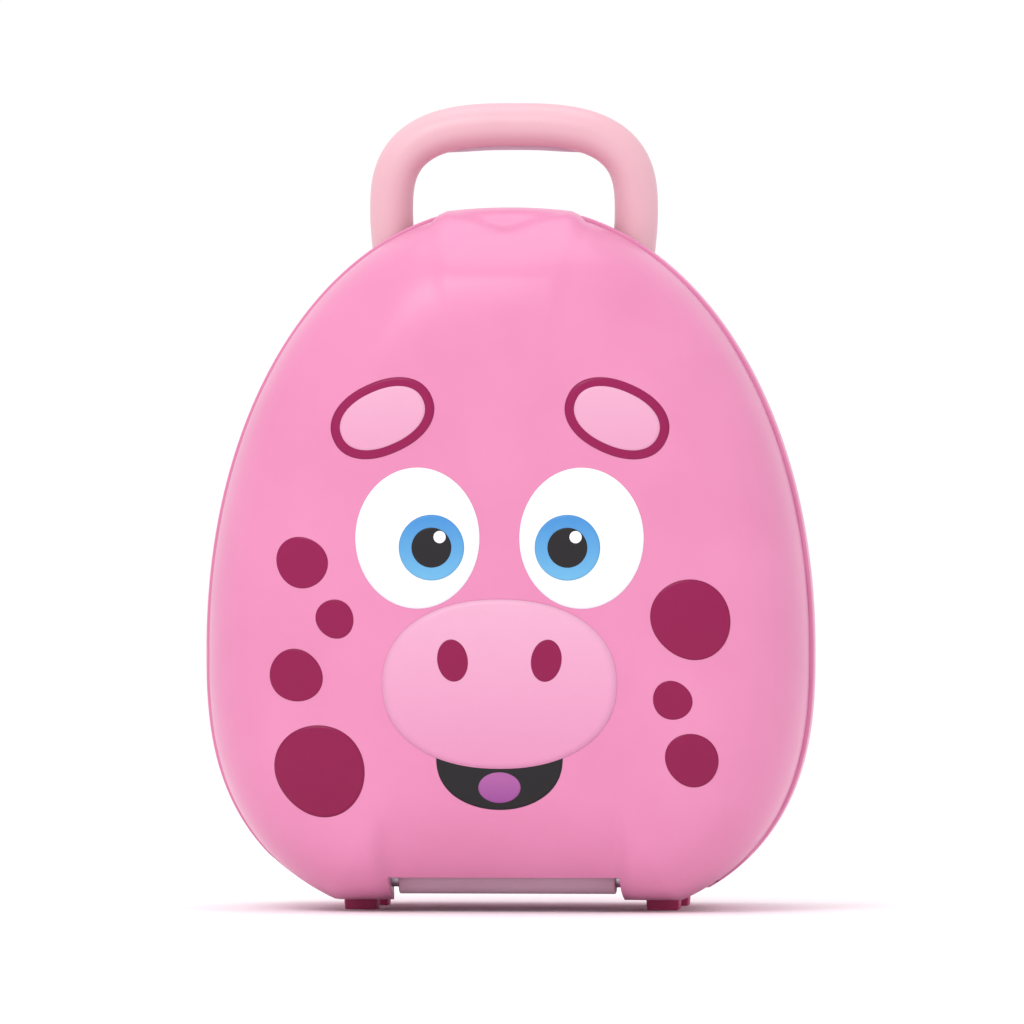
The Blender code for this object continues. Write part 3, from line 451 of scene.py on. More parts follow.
def inset(points, distance):
    """The outline moved inwards along its own normals."""
    moved = []
    for i, (x, z) in enumerate(points):
        before, after = points[i - 1], points[(i + 1) % len(points)]
        along = Vector((after[0] - before[0], after[1] - before[1])).normalized()
        moved.append((x - along.y * distance, z + along.x * distance))
    return moved


def shrunk(points, share, towards_z):
    """The outline made smaller about a height."""
    return [(x * share, towards_z + (z - towards_z) * share) for x, z in points]


def at_depth(points, y):
    """The outline as a ring at y."""
    return [Vector((x, y, z)) for x, z in points]


def smooth_step(value):
    """An ease from 0 to 1."""
    t = min(max(value, 0), 1)
    return t * t * (3 - 2 * t)


# %% [markdown]
# # The lid
# The lid is a deep tray with a nearly flat face. Towards its top the face slopes back over a brow and two
# shoulders, and at the bottom it is set back between two lobes, to leave room for the hinge. Sculpting
# would lose the symmetry. So the face's depth is a formula: a rounded edge, two slanting planes and the
# setback, blended softly.

# %% The lid's face
LID_CENTRE_Z = 125 * MM
LID_EDGE_POWER = 8.0
BROW_EDGE, BROW_SLOPE = 12 * MM, 1.25
SHOULDER_POINT = Vector((23.0, 268.3)) * MM
SHOULDER_DIRECTION = Vector((0.82, 0.57))
SHOULDER_SLOPE = 0.72
FACE_BLEND = 8 * MM
HEEL_SETBACK, HEEL_HALF, HEEL_TOP_Z = 6 * MM, 52 * MM, 52 * MM
HEEL_EDGE, HEEL_FADE = 8 * MM, 34 * MM
CROWN_HALF = 28.5 * MM  # the raised flat at the top of the lid
VALLEY_Z, VALLEY_RISE = 289.5 * MM, 8.5 * MM  # the crown is hollowed above a shallow V, for a thumb
VALLEY_DEPTH, VALLEY_EDGE = 3.2 * MM, 3.6 * MM
DIMPLE_Z, DIMPLE_SPREAD, DIMPLE_DEPTH = 293.0 * MM, Vector((8.5, 3.0)) * MM, 2.0 * MM


def soft_min(a, b, radius):
    """The smaller of two, blended where they are close."""
    h = min(max(0.5 + 0.5 * (b - a) / radius, 0), 1)
    return b + (a - b) * h - radius * h * (1 - h)


def thumb_hollow(x, z):
    """How deep the crown is pressed in at (x, z): a shallow V with a dimple at its foot."""
    valley = smooth_step((z - VALLEY_Z - VALLEY_RISE * abs(x) / CROWN_HALF) / VALLEY_EDGE)
    away = Vector((x / DIMPLE_SPREAD.x, (z - DIMPLE_Z) / DIMPLE_SPREAD.y)).length
    return VALLEY_DEPTH * valley + DIMPLE_DEPTH * exp(-(away**2))


def lid_depth(x, z, share):
    """How far the lid stands in front of the parting plane at (x, z), on the ring of that share."""
    depth = LID_DEPTH * sqrt(max(0.0, 1 - share**LID_EDGE_POWER))
    brow = BROW_EDGE + (LID_TOP - z) * BROW_SLOPE
    beyond = SHOULDER_DIRECTION.dot(Vector((abs(x), z)) - SHOULDER_POINT)
    shoulder = LID_DEPTH + FACE_BLEND - SHOULDER_SLOPE * max(0, beyond)
    depth = soft_min(soft_min(depth, brow, FACE_BLEND), shoulder, FACE_BLEND)
    heel = smooth_step((HEEL_HALF + HEEL_EDGE / 2 - abs(x)) / HEEL_EDGE)
    heel *= smooth_step((HEEL_TOP_Z - z) / HEEL_FADE)
    return max(0.0, depth - min(HEEL_SETBACK * heel + thumb_hollow(x, z), depth / 2))


# %% The lid's rings
CROWN_STEP, CROWN_EDGE, CROWN_SAG = 0.5 * MM, 3.5 * MM, 1.8 * MM
CROWN_FADE = 60 * MM
RING_REACH, RING_CROWDING = 0.985, 2.4


def crowned(points):
    """Lifts the top of the outline to a nearly flat crown with low steps beside it."""
    shaped = []
    for x, z in points:
        beside = smooth_step((abs(x) - CROWN_HALF) / CROWN_EDGE)
        fading = 1 - smooth_step((abs(x) - CROWN_HALF) / CROWN_FADE)
        if z > WIDEST_Z:
            flat = max(z, LID_TOP - CROWN_SAG * (x / CROWN_HALF) ** 2)
            z = flat + (z - CROWN_STEP * fading - flat) * beside
        shaped.append((x, z))
    return shaped


def lid_rings(outline, count, thinner):
    """Rings from the rim to the middle, close together where the edge turns over."""
    rings = []
    for i in range(count):
        share = 1 - RING_REACH * (i / (count - 1)) ** RING_CROWDING
        flat = shrunk(outline, share, LID_CENTRE_Z)
        rings.append([Vector((x, PART_Y - max(0, lid_depth(x, z, share) - thinner), z)) for x, z in flat])
    return rings


LID_OUTLINE = crowned(egg(LID_HALF, LID_TOP, LID_FLOOR, LID_TOP, BELLY_DROP))
lid_skin = loft(lid_rings(LID_OUTLINE, 60, 0))
lid_hollow_outline = inset(LID_OUTLINE, WALL)
lid_hollow = loft([at_depth(lid_hollow_outline, PART_Y + WALL)] + lid_rings(lid_hollow_outline, 34, WALL))
soften(lid_skin, 0.5 * MM, 3, 60)
print("lid skin:", len(lid_skin.faces), "faces")

# %% [markdown]
# # Cutting the lid for its hinge
# The hinge's barrel stands in a slot between the lobes. It could be modelled into the rings, but its
# edges run across them. An exact Boolean cuts it cleanly: first the slot's walls are left standing in the
# hollow, then the hollow and the slot itself are taken away.

# %% Slot and bosses
BARREL_RADIUS, BARREL_HALF = 6.5 * MM, 46.5 * MM
SLOT_HALF = BARREL_HALF + 3 * MM
EAR = pin_high.x - SLOT_HALF
SLOT_FRONT_Z, SLOT_CLEARANCE = 15 * MM, 1.5 * MM
PIN_RADIUS = (pin_high.z - pin_low.z) / 2
BORE_RADIUS = PIN_RADIUS + 0.4 * MM
PILOT_RADIUS, PILOT_DEPTH = 2 * MM, 8 * MM
LINER_BOSS_RADIUS = 4.2 * MM
FAR = 300 * MM


def hinge_slot(half_width, grow):
    """The room that the barrel and its web need in the lid through the whole swing."""
    radius = BARREL_RADIUS + SLOT_CLEARANCE + grow
    edge_rise = SLOT_FRONT_Z + grow - HINGE.z
    first = pi - asin(edge_rise / radius)
    round_it = arc(radius, first, pi / 2, (HINGE.y, HINGE.z))
    ahead_of = [(HINGE.y - FAR, HINGE.z - FAR), (HINGE.y - FAR, HINGE.z + edge_rise)]
    behind_it = [(HINGE.y + FAR, HINGE.z + radius), (HINGE.y + FAR, HINGE.z - FAR)]
    return slab(ahead_of + round_it + behind_it, -half_width, half_width)


def pilots(places, start_y, end_y):
    """The holes that the screws' threads cut into."""
    return bars(places, start_y, end_y, PILOT_RADIUS, 24)


def screw_places(kind, count):
    """The middles of the screws' nodes, as (x, z)."""
    boxes = [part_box(f"{kind}_screw_{i}") for i in range(1, count + 1)]
    return [((low.x + high.x) / 2, (low.z + high.z) / 2) for low, high in boxes]


LINER_SCREWS = screw_places("liner", 6)
LINER_Y = PART_Y - 1.5 * MM
LINER_WALL = 2.2 * MM
boss_end = LINER_Y - LINER_WALL - GAP
standing = bars(LINER_SCREWS, -FAR / 2, boss_end, LINER_BOSS_RADIUS)
standing.append(hinge_slot(SLOT_HALF + EAR, WALL))
lid_hollow = carve(lid_hollow, standing)
lid_shape = carve(lid_skin, [lid_hollow])
threads = pilots(LINER_SCREWS, boss_end - PILOT_DEPTH, PART_Y)
lid_shape = carve(lid_shape, [hinge_slot(SLOT_HALF, 0)] + threads)
lid_shape = carve(lid_shape, [on_axis(HINGE, -pin_high.x - WALL, pin_high.x + WALL, BORE_RADIUS)])
soften(lid_shape, 0.4 * MM, 2, 50)
lid_cover = piece("lid_cover", lid_shape, "shell_pink", "lid", "lid_shell")

# %% [markdown]
# # The base
# The rear half is a deeper tray with a gentle draft, so that it leaves its mould, and a rounded back
# edge. A solidified wall can't hold the pockets that the handle turns in. So it is made as the lid is: a
# skin, a hollow with the pockets' walls left standing in it, and the cuts.

# %% The base's rings
BASE_CENTRE_Z = 125 * MM
BASE_LAND, BASE_DRAFT = 12 * MM, 0.070
BASE_ROUND_DEPTH, BASE_ROUND_SHARE = 30 * MM, 0.115
SHELL_BACK_Y = base_high.y
BASE_DEPTH = SHELL_BACK_Y - PART_Y
BASE_STRAIGHT = BASE_DEPTH - BASE_ROUND_DEPTH
BASE_OUTLINE = egg(CASE_HALF, BASE_TOP, BASE_FLOOR, BASE_CAP, BELLY_DROP + BASE_FLOOR - LID_FLOOR)


def base_share(depth):
    """How large the base's outline is at a depth behind the parting plane."""
    draft = max(0, depth - BASE_LAND) / (BASE_DEPTH - BASE_LAND)
    into_round = max(0, depth - BASE_STRAIGHT) / BASE_ROUND_DEPTH
    rounding = 1 - sqrt(max(0, 1 - into_round**2))
    return 1 - BASE_DRAFT * draft - BASE_ROUND_SHARE * rounding


def base_rings(outline, depths):
    return [at_depth(shrunk(outline, base_share(d), BASE_CENTRE_Z), PART_Y + d) for d in depths]


straight_depths = [BASE_LAND + (BASE_STRAIGHT - BASE_LAND) * i / 10 for i in range(11)]
round_depths = [BASE_STRAIGHT + BASE_ROUND_DEPTH * sin(radians(a)) for a in range(6, 91, 6)]
base_skin = loft(base_rings(BASE_OUTLINE, [GAP] + straight_depths + round_depths))
hollow_depths = [-WALL, BASE_LAND] + [d - WALL for d in straight_depths[1:] + round_depths]
base_hollow = loft(base_rings(inset(BASE_OUTLINE, WALL), hollow_depths))
soften(base_skin, 0.5 * MM, 3, 60)

# %% Pockets for the handle
handle_low, handle_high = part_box("handle_back")
pivot_pin_low, pivot_pin_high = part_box("handle_pin_right")
PIVOT = Vector((0, (pivot_pin_low.y + pivot_pin_high.y) / 2, (pivot_pin_low.z + pivot_pin_high.z) / 2))
HUB_RADIUS = PIVOT.z - handle_low.z
HANDLE_HALF, FOOT_HALF = 52.7 * MM, 50.5 * MM
GRIP_WIDTH, GRIP_DEPTH = 18.6 * MM, 20 * MM
HANDLE_FOLD = radians(62)
POCKET_CLEARANCE = 1.2 * MM
AXLE_RADIUS = 3.5 * MM
AXLE_BORE_RADIUS, HEAD_WELL_RADIUS = AXLE_RADIUS + 0.4 * MM, 4.1 * MM
POCKET_MIDDLE = (HANDLE_HALF + FOOT_HALF) / 2
POCKET_HALF = GRIP_WIDTH / 2 + (HANDLE_HALF - FOOT_HALF) / 2 + POCKET_CLEARANCE


def handle_pocket(side, grow):
    """The slot that one leg of the handle turns in, from upright to folded back."""
    radius = HUB_RADIUS + POCKET_CLEARANCE + grow
    start, end = pi, 3 * pi / 2 + (pi / 2 - HANDLE_FOLD)
    profile = [(-radius, FAR)] + arc(radius, start, end)
    last_y, last_z = profile[-1]
    profile.append((last_y + FAR * sin(HANDLE_FOLD), last_z + FAR * cos(HANDLE_FOLD)))
    profile.append((profile[-1][0], FAR))
    half = POCKET_HALF + grow
    placed = [(PIVOT.y + y, PIVOT.z + z) for y, z in profile]
    return slab(placed, side * POCKET_MIDDLE - half, side * POCKET_MIDDLE + half)


# %% Cutting the base
SWING_RADIUS = hypot(HINGE.y - PART_Y, HINGE.z - LID_FLOOR)
RELIEF_RADIUS = SWING_RADIUS + 0.9 * MM
TOWER_RADIUS, WELL_RADIUS = 8 * MM, 4.2 * MM
DECK_Y, DECK_THICKNESS = PART_Y + 2 * MM, 2.5 * MM
DECK_BACK_Y = DECK_Y + DECK_THICKNESS
TOWER_TOP_Y = DECK_BACK_Y + WALL + 2 * GAP
BOSS_SOCKET, BOSS_RADIUS = 5 * MM, 5 * MM
SHOULDER_Y = TOWER_TOP_Y + BOSS_SOCKET + 4 * MM
STEM_RADIUS, SLIDE = 3 * MM, 0.5 * MM  # the feet's stems, and the room that a boss or a stem slides in
towers = screw_places("deck", 4)
foot_boxes = [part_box(f"standing_foot_{i}") for i in range(1, 5)]
stem_places = [((low.x + high.x) / 2, (low.y + high.y) / 2, high.z) for low, high in foot_boxes]


def lobe_relief(grow):
    """The room that the lid's lobes swing through, on each side of the hinge."""
    inner = BARREL_HALF + 1.5 * MM - grow
    outer = CASE_HALF + grow
    return [on_axis(HINGE, side * inner, side * outer, RELIEF_RADIUS + grow, 96) for side in (-1, 1)]


walls = [handle_pocket(side, WALL) for side in (-1, 1)]
base_hollow = carve(base_hollow, walls + bars(towers, TOWER_TOP_Y, SHELL_BACK_Y, TOWER_RADIUS))
base_shape = carve(base_skin, [base_hollow])
base_shape = carve(base_shape, lobe_relief(0) + [handle_pocket(side, 0) for side in (-1, 1)])
base_shape = carve(base_shape, bars(towers, PART_Y, TOWER_TOP_Y + BOSS_SOCKET, BOSS_RADIUS + SLIDE))
wells = bars(towers, SHOULDER_Y, SHELL_BACK_Y + WALL, WELL_RADIUS)
wells += [rod((x, y, 0), (x, y, top + WALL), STEM_RADIUS + SLIDE, 32) for x, y, top in stem_places]
pin_start, pin_end = POCKET_MIDDLE - POCKET_HALF - 2 * WALL, POCKET_MIDDLE + POCKET_HALF + 2 * WALL
wells += [on_axis(PIVOT, side * pin_start, side * pin_end, AXLE_BORE_RADIUS) for side in (-1, 1)]
base_shape = carve(base_shape, wells)
base_shape = carve(base_shape, pilots(towers, TOWER_TOP_Y, SHOULDER_Y + WALL))
soften(base_shape, 0.4 * MM, 2, 50)
piece("base_tray", base_shape, "shell_pink", "base", "base_shell")

# %% [markdown]
# # The seat deck
# The deck is what is sat on: a plate with an oval opening, a low lip round it and a splash guard that
# rises at the front. A Boolean hole would have a sharp edge where the skin touches it. The rings here run
# over the lip and down into the collar instead, so its edge is round from the start.

# %% The seat's opening and the deck's rings
MOUTH_HALF = Vector((66, 88)) * MM
MOUTH_Z, MOUTH_POWER = 150 * MM, 2.15
LIP_HEIGHT, SPLASH_HEIGHT, SPLASH_REACH = 2 * MM, 18 * MM, radians(62)
DRIP_DEPTH = 12 * MM
DECK_SKIRT = 3.5 * MM


def mouth(offset):
    """The seat's opening, grown by offset all round, as (x, z) points."""
    half_width, half_height = MOUTH_HALF.x + offset, MOUTH_HALF.y + offset
    return [(half_width * c, MOUTH_Z + half_height * s) for c, s in rounded(MOUTH_POWER)]


def mouth_rings(*places):
    """Rings round the opening, one for each (offset, y)."""
    return [at_depth(mouth(offset), y) for offset, y in places]


def guard_ring(offset, share, sink=0.0):
    """A ring on the lip, at a share of its height, sunk by a length."""
    ring = []
    for i, (x, z) in enumerate(mouth(offset)):
        rise = 1 - abs(tau * i / SEGMENTS - pi / 2) / SPLASH_REACH
        height = LIP_HEIGHT + SPLASH_HEIGHT * smooth_step(rise * 1.6)
        ring.append(Vector((x, DECK_Y - share * height + sink, z)))
    return ring


DECK_OUTLINE = inset(BASE_OUTLINE, WALL + 0.5 * MM)
skirt_inner = inset(DECK_OUTLINE, WALL)
skirt_y, drip_y = DECK_BACK_Y + DECK_SKIRT, DECK_Y + DRIP_DEPTH
deck_rings = [at_depth(outline, DECK_Y) for outline in (DECK_OUTLINE, inset(DECK_OUTLINE, 4 * MM))]
for turn in (0, 22, 45, 67, 90):  # the hollow where the deck turns up into the lip
    away = LIP_HEIGHT * (1 - sin(radians(turn)))
    deck_rings.append(guard_ring(WALL + away, 0.5 * (1 - cos(radians(turn)))))
for turn in range(0, 181, 30):  # the lip's rounded edge
    across = WALL / 2 * (1 + cos(radians(turn)))
    deck_rings.append(guard_ring(across, 1, WALL / 2 * (1 - sin(radians(turn)))))
deck_rings += mouth_rings((0, DECK_Y + 1 * MM), (0, drip_y), (WALL, drip_y), (WALL, DECK_BACK_Y))
for outline, y in ((skirt_inner, DECK_BACK_Y), (skirt_inner, skirt_y), (DECK_OUTLINE, skirt_y)):
    deck_rings.append(at_depth(outline, y))
deck_shape = soften(loft(deck_rings, looped=True), 0.5 * MM, 2, 60)

# %% The deck's barrel, fenders, bosses and window
WEB_LOW = BASE_FLOOR + WALL + 0.8 * MM
WEB = 3.8 * MM
LATCH_Z, LATCH_HALF, LATCH_ROOM = 278.5 * MM, 9 * MM, 1 * MM
TONGUE_HALF, NOSE_RISE = 1.1 * MM, 1.7 * MM  # the tongue's half thickness, and its nose above its middle
web = block((-BARREL_HALF, HINGE.y, WEB_LOW), (BARREL_HALF, DECK_BACK_Y, WEB_LOW + WEB))
barrel = soften(on_axis(HINGE, -BARREL_HALF, BARREL_HALF, BARREL_RADIUS, 96), 0.8 * MM, 3)
barrel = carve(barrel, [web], "UNION")
fenders = []
for fender in lobe_relief(WALL):
    envelope = loft([at_depth(DECK_OUTLINE, DECK_Y), at_depth(DECK_OUTLINE, skirt_y)])
    fenders.append(carve(fender, [envelope], "INTERSECT"))
deck_shape = carve(deck_shape, fenders, "UNION")
deck_shape = carve(deck_shape, [barrel], "UNION")
boss_ends = (DECK_Y + DECK_THICKNESS / 2, TOWER_TOP_Y + BOSS_SOCKET - GAP)
deck_shape = carve(deck_shape, bars(towers, *boss_ends, BOSS_RADIUS), "UNION")
cuts = pilots(towers, boss_ends[0], SHOULDER_Y)
cuts.append(block(
    (-LATCH_HALF - LATCH_ROOM, DECK_Y - WALL, LATCH_Z - TONGUE_HALF - LATCH_ROOM),
    (LATCH_HALF + LATCH_ROOM, DECK_BACK_Y + WALL, LATCH_Z + NOSE_RISE + LATCH_ROOM),
))
deck_shape = carve(deck_shape, lobe_relief(0) + cuts)
deck_shape = carve(deck_shape, [on_axis(HINGE, -FAR, FAR, BORE_RADIUS)])
soften(deck_shape, 0.3 * MM, 2, 50)
piece("seat_plate", deck_shape, "inner_pale_pink", "base", "seat_deck")

# %% [markdown]
# # The bowl
# A removable bowl hangs under the deck by its flange, thin and drawn deep. A subdivided cup would drift
# off its size, so its rings follow the outline of the deck's opening, from the middle of its floor up the
# inside, over the flange and down the outside.

# %% Bowl
BOWL_MOUTH = WALL + 0.8 * MM
BOWL_DEPTH, BOWL_FLANGE, BOWL_TAPER = 94 * MM, 12 * MM, 21 * MM
BOWL_LAND = DRIP_DEPTH / BOWL_DEPTH
BOWL_SLANT, BOWL_CURL, BOWL_CURL_POWER = 0.45, 0.55, 6  # the taper's shares in the wall and at the floor
FLANGE_Y = DECK_BACK_Y + GAP


def bowl_offset(share):
    """How far the bowl's inside is outside the mouth's outline, from its rim (0) to its floor (1)."""
    below = max(0, share - BOWL_LAND) / (1 - BOWL_LAND)
    return BOWL_MOUTH - BOWL_TAPER * (BOWL_SLANT * below + BOWL_CURL * below**BOWL_CURL_POWER)


shares = [1 - (1 - BOWL_LAND) * (i / 30) ** 1.6 for i in range(31)]
bowl_floor_y, flange_back_y = FLANGE_Y + BOWL_DEPTH - WALL, FLANGE_Y + WALL
bowl_rings = mouth_rings(*[(bowl_offset(1) - step * MM, bowl_floor_y) for step in (40, 20, 5)])
bowl_rings += mouth_rings(*[(bowl_offset(s), FLANGE_Y + BOWL_DEPTH * s - WALL) for s in shares])
bowl_rings += mouth_rings((BOWL_MOUTH, FLANGE_Y), (BOWL_FLANGE, FLANGE_Y))
bowl_rings += mouth_rings((BOWL_FLANGE, flange_back_y), (BOWL_MOUTH + WALL, flange_back_y))
bowl_rings += mouth_rings(*[(bowl_offset(s) + WALL, FLANGE_Y + BOWL_DEPTH * s) for s in reversed(shares)])
piece("bowl_cup", soften(loft(bowl_rings), 0.6 * MM, 3, 55), "inner_pale_pink", "base", "bowl")

# %% [markdown]
# # The lid's liner and seal
# The liner closes the lid's inside. It has a dish that makes room for the splash guard, a groove for the
# seal and a tongue at the top that snaps into the deck. Three pieces joined by Booleans would leave
# seams. So one run of rings makes the dish, the plate and the groove, and only the tongue and the screw
# holes are added.

# %% Liner
DISH_DEPTH, DISH_OFFSET, DISH_TAPER = 27 * MM, 8 * MM, 10 * MM
GROOVE_DEPTH = 1.2 * MM
SEAL_OFFSET, SEAL_WIDTH = 20 * MM, 5 * MM
LINER_FLOOR_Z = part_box("lid_liner")[0].z
lid_egg = egg(LID_HALF, LID_TOP - CROWN_STEP, LID_FLOOR, LID_TOP, BELLY_DROP)
LINER_OUTLINE = [(x, max(z, LINER_FLOOR_Z)) for x, z in inset(lid_egg, WALL + 1.4 * MM)]
front_y = LINER_Y - LINER_WALL
groove_half = SEAL_WIDTH / 2 + 0.5 * MM


def dish_rings(grow, mouth_y, floor_y):
    """The dish from its floor to its mouth, with a rounded floor edge."""
    rings = mouth_rings(*[(DISH_OFFSET + grow - DISH_TAPER - step * MM, floor_y) for step in (35, 15)])
    for i in range(9):
        turn = radians(90 * i / 8)
        away, along = DISH_TAPER / 2 * sin(turn), 0.3 * DISH_DEPTH * (1 - cos(turn))
        rings.append(at_depth(mouth(DISH_OFFSET + grow - DISH_TAPER + away), floor_y + along))
    return rings + mouth_rings((DISH_OFFSET + grow, mouth_y))


liner_rings = dish_rings(LINER_WALL, front_y, front_y - DISH_DEPTH)
liner_rings += [at_depth(LINER_OUTLINE, front_y), at_depth(LINER_OUTLINE, LINER_Y)]
groove_y = LINER_Y - GROOVE_DEPTH
outer_groove, inner_groove = SEAL_OFFSET + groove_half, SEAL_OFFSET - groove_half
liner_rings += mouth_rings((outer_groove, LINER_Y), (outer_groove, groove_y))
liner_rings += mouth_rings((inner_groove, groove_y), (inner_groove, LINER_Y))
liner_rings += reversed(dish_rings(0, LINER_Y, LINER_Y - DISH_DEPTH))
liner_shape = soften(loft(liner_rings), 0.35 * MM, 2, 55)
tongue_y = DECK_BACK_Y + 3.6 * MM
snap, nose = (
    block((-LATCH_HALF, start_y, LATCH_Z - below), (LATCH_HALF, tongue_y, LATCH_Z + above))
    for start_y, below, above in (
        (front_y, TONGUE_HALF, TONGUE_HALF), (tongue_y - 1.8 * MM, 0, NOSE_RISE)
    )
)
liner_shape = carve(liner_shape, [carve(snap, [nose], "UNION")], "UNION")
liner_shape = carve(liner_shape, pilots(LINER_SCREWS, front_y - WALL, PART_Y))
soften(liner_shape, 0.25 * MM, 2, 60)
piece("lid_inner_panel", liner_shape, "inner_pale_pink", "lid", "lid_liner")

# %% Seal
seal_low_y, seal_high_y = groove_y + GAP, DECK_Y - GAP
seal_rings = mouth_rings((SEAL_OFFSET + SEAL_WIDTH / 2, seal_low_y))
for turn in range(0, 181, 15):
    away = SEAL_WIDTH / 2 * cos(radians(turn))
    rise = (seal_high_y - seal_low_y - 1 * MM) * sin(radians(turn))
    seal_rings.append(at_depth(mouth(SEAL_OFFSET + away), seal_low_y + 1 * MM + rise))
seal_rings += mouth_rings((SEAL_OFFSET - SEAL_WIDTH / 2, seal_low_y))
piece("seal_ring", loft(seal_rings, looped=True), "seal_rubber", "lid", "lid_seal")

# %% [markdown]
# # The handle
# The handle is a hollow loop in two halves, screwed together from behind. The back half has a lip that
# stands a little proud along the underside of the bar. A bevelled curve would give neither halves nor
# hubs. So half of the section is swept along the loop, ring by ring, and at its feet it turns into the
# round hub on the pivot.

# %% The loop
HANDLE_TOP = handle_high.z
SHOULDER_Z, HANDLE_POWER = 299 * MM, 2.9
SECTION_STEPS = 24
LEG_STEPS, ARCH_STEPS = 8, 48
HUB_BLUNTNESS, HUB_SLIMMER = 3, 0.5 * MM
SEAM = 0.3 * MM
LIP_PROUD, LIP_START, LIP_FADE = 1.6 * MM, 332.5 * MM, 4 * MM  # the back half's lip, only along the bar
BACK_SHY = 0.35 * MM  # elsewhere the back half keeps inside the front one, clear of the folded rest


def loop_path():
    """The middle of the grip from the right pivot to the left one, as (x, z, share of hub)."""
    rise = HANDLE_TOP - GRIP_WIDTH / 2 - SHOULDER_Z
    leg = []
    for i in range(LEG_STEPS):
        share = i / LEG_STEPS
        x = FOOT_HALF + (HANDLE_HALF - FOOT_HALF) * smooth_step(share)
        leg.append((x, PIVOT.z + (SHOULDER_Z - PIVOT.z) * share, 1 - smooth_step(share * 1.6)))
    for i in range(ARCH_STEPS):
        angle = pi / 2 * i / ARCH_STEPS
        x = HANDLE_HALF * cos(angle) ** (2 / HANDLE_POWER)
        leg.append((x, SHOULDER_Z + rise * sin(angle) ** (2 / HANDLE_POWER), 0))
    top = [(0, HANDLE_TOP - GRIP_WIDTH / 2, 0)]
    return leg + top + [(-x, z, hub) for x, z, hub in reversed(leg)]


def half_section(side, hub, squeeze, z=0.0):
    """One half of the grip's section, as (outwards, depthways) points."""
    power = 2 + HUB_BLUNTNESS * hub  # from an ellipse to the hub's blunt shape
    half_width = GRIP_WIDTH / 2 - HUB_SLIMMER * hub
    shy = BACK_SHY if side > 0 else 0
    half_depth = (GRIP_DEPTH / 2 - shy + (HUB_RADIUS - GRIP_DEPTH / 2) * hub) * squeeze
    proud = (LIP_PROUD + BACK_SHY) * smooth_step((z - LIP_START) / LIP_FADE) - BACK_SHY if side > 0 else 0
    points = []
    for i in range(SECTION_STEPS + 1):
        angle = pi * i / SECTION_STEPS
        outward = half_width * signed_power(cos(angle), 2 / power)
        if outward < 0:
            outward -= proud * -outward / half_width
        points.append((outward, side * max(SEAM / 2, half_depth * sin(angle) ** (2 / power))))
    return points


def handle_half(side):
    """The half in front of (-1) or behind (1) the pivot's plane."""
    path = loop_path()
    rings = []
    for i, (x, z, hub) in enumerate(path):
        before, after = path[max(0, i - 1)], path[min(len(path) - 1, i + 1)]
        along = Vector((after[0] - before[0], 0, after[1] - before[1])).normalized()
        across = Vector((along.z, 0, -along.x))
        middle = Vector((x, PIVOT.y, z))
        section = half_section(side, hub, 1, z)
        rings.append([middle + across * out + Vector((0, deep, 0)) for out, deep in section])
    for way, place in ((1, path[0]), (-1, path[-1])):
        foot = []
        for turn in range(10, 85, 10):  # the round end under the pivot
            drop = HUB_RADIUS * sin(radians(turn))
            section = half_section(side, 1, cos(radians(turn)))
            middle = Vector((place[0], PIVOT.y, place[1] - drop))
            foot.append([middle + Vector((way * out, deep, 0)) for out, deep in section])
        rings = foot[::-1] + rings if way > 0 else rings + foot
    return soften(loft(rings), 0.35 * MM, 2, 60)


# %% Wells, bores and the two halves
HANDLE_SCREWS = screw_places("handle", 3)
SCREW_SEAT, SCREW_SHANK_SKIN = 5.5 * MM, 2.6 * MM
bore_start, bore_end = POCKET_MIDDLE - POCKET_HALF, POCKET_MIDDLE + POCKET_HALF
back_y = PIVOT.y + GRIP_DEPTH / 2
seat_y = back_y - SCREW_SEAT
pilot_ends = (PIVOT.y - GRIP_DEPTH / 2 + SCREW_SHANK_SKIN, seat_y + GAP)
for name, side, slot, node in (
    ("grip_front", -1, "handle_pale_pink", "handle_front"),
    ("grip_back", 1, "inner_pale_pink", "handle_back"),
):
    cuts = [on_axis(PIVOT, way * bore_start, way * bore_end, AXLE_BORE_RADIUS) for way in (-1, 1)]
    if side > 0:
        cuts += bars(HANDLE_SCREWS, seat_y, back_y + WALL, HEAD_WELL_RADIUS)
    shape = carve(carve(handle_half(side), cuts), pilots(HANDLE_SCREWS, *pilot_ends))
    piece(name, soften(shape, 0.3 * MM, 2, 55), slot, "handle", node)

# %% [markdown]
# # Screws, pins and feet
# Turned and pressed parts are round about an axis, so a half profile is spun round it. The screws have a
# low domed head with a cross recess and a threaded shank; the threads are rings, not a helix, since only
# their edges would ever show. The feet's edges are rounded more than the shell's.

# %% Turned parts
def turned(profile, segments=48):
    """A half profile of (radius, height) points, spun round the Z axis."""
    bm = bmesh.new()
    verts = [bm.verts.new((radius, 0, height)) for radius, height in profile]
    for pair in zip(verts, verts[1:]):
        bm.edges.new(pair)
    ops.spin(
        bm, geom=bm.verts[:] + bm.edges[:], cent=(0, 0, 0), axis=(0, 0, 1), angle=tau,
        steps=segments, use_merge=True,
    )
    return outwards(bm)


def laid(bm, base, direction):
    """Turns a shape from the Z axis to a direction and moves it to its place."""
    turn = Vector(direction).to_track_quat("Z", "Y").to_matrix().to_4x4()
    ops.transform(bm, matrix=Matrix.Translation(base) @ turn, verts=bm.verts)
    return bm


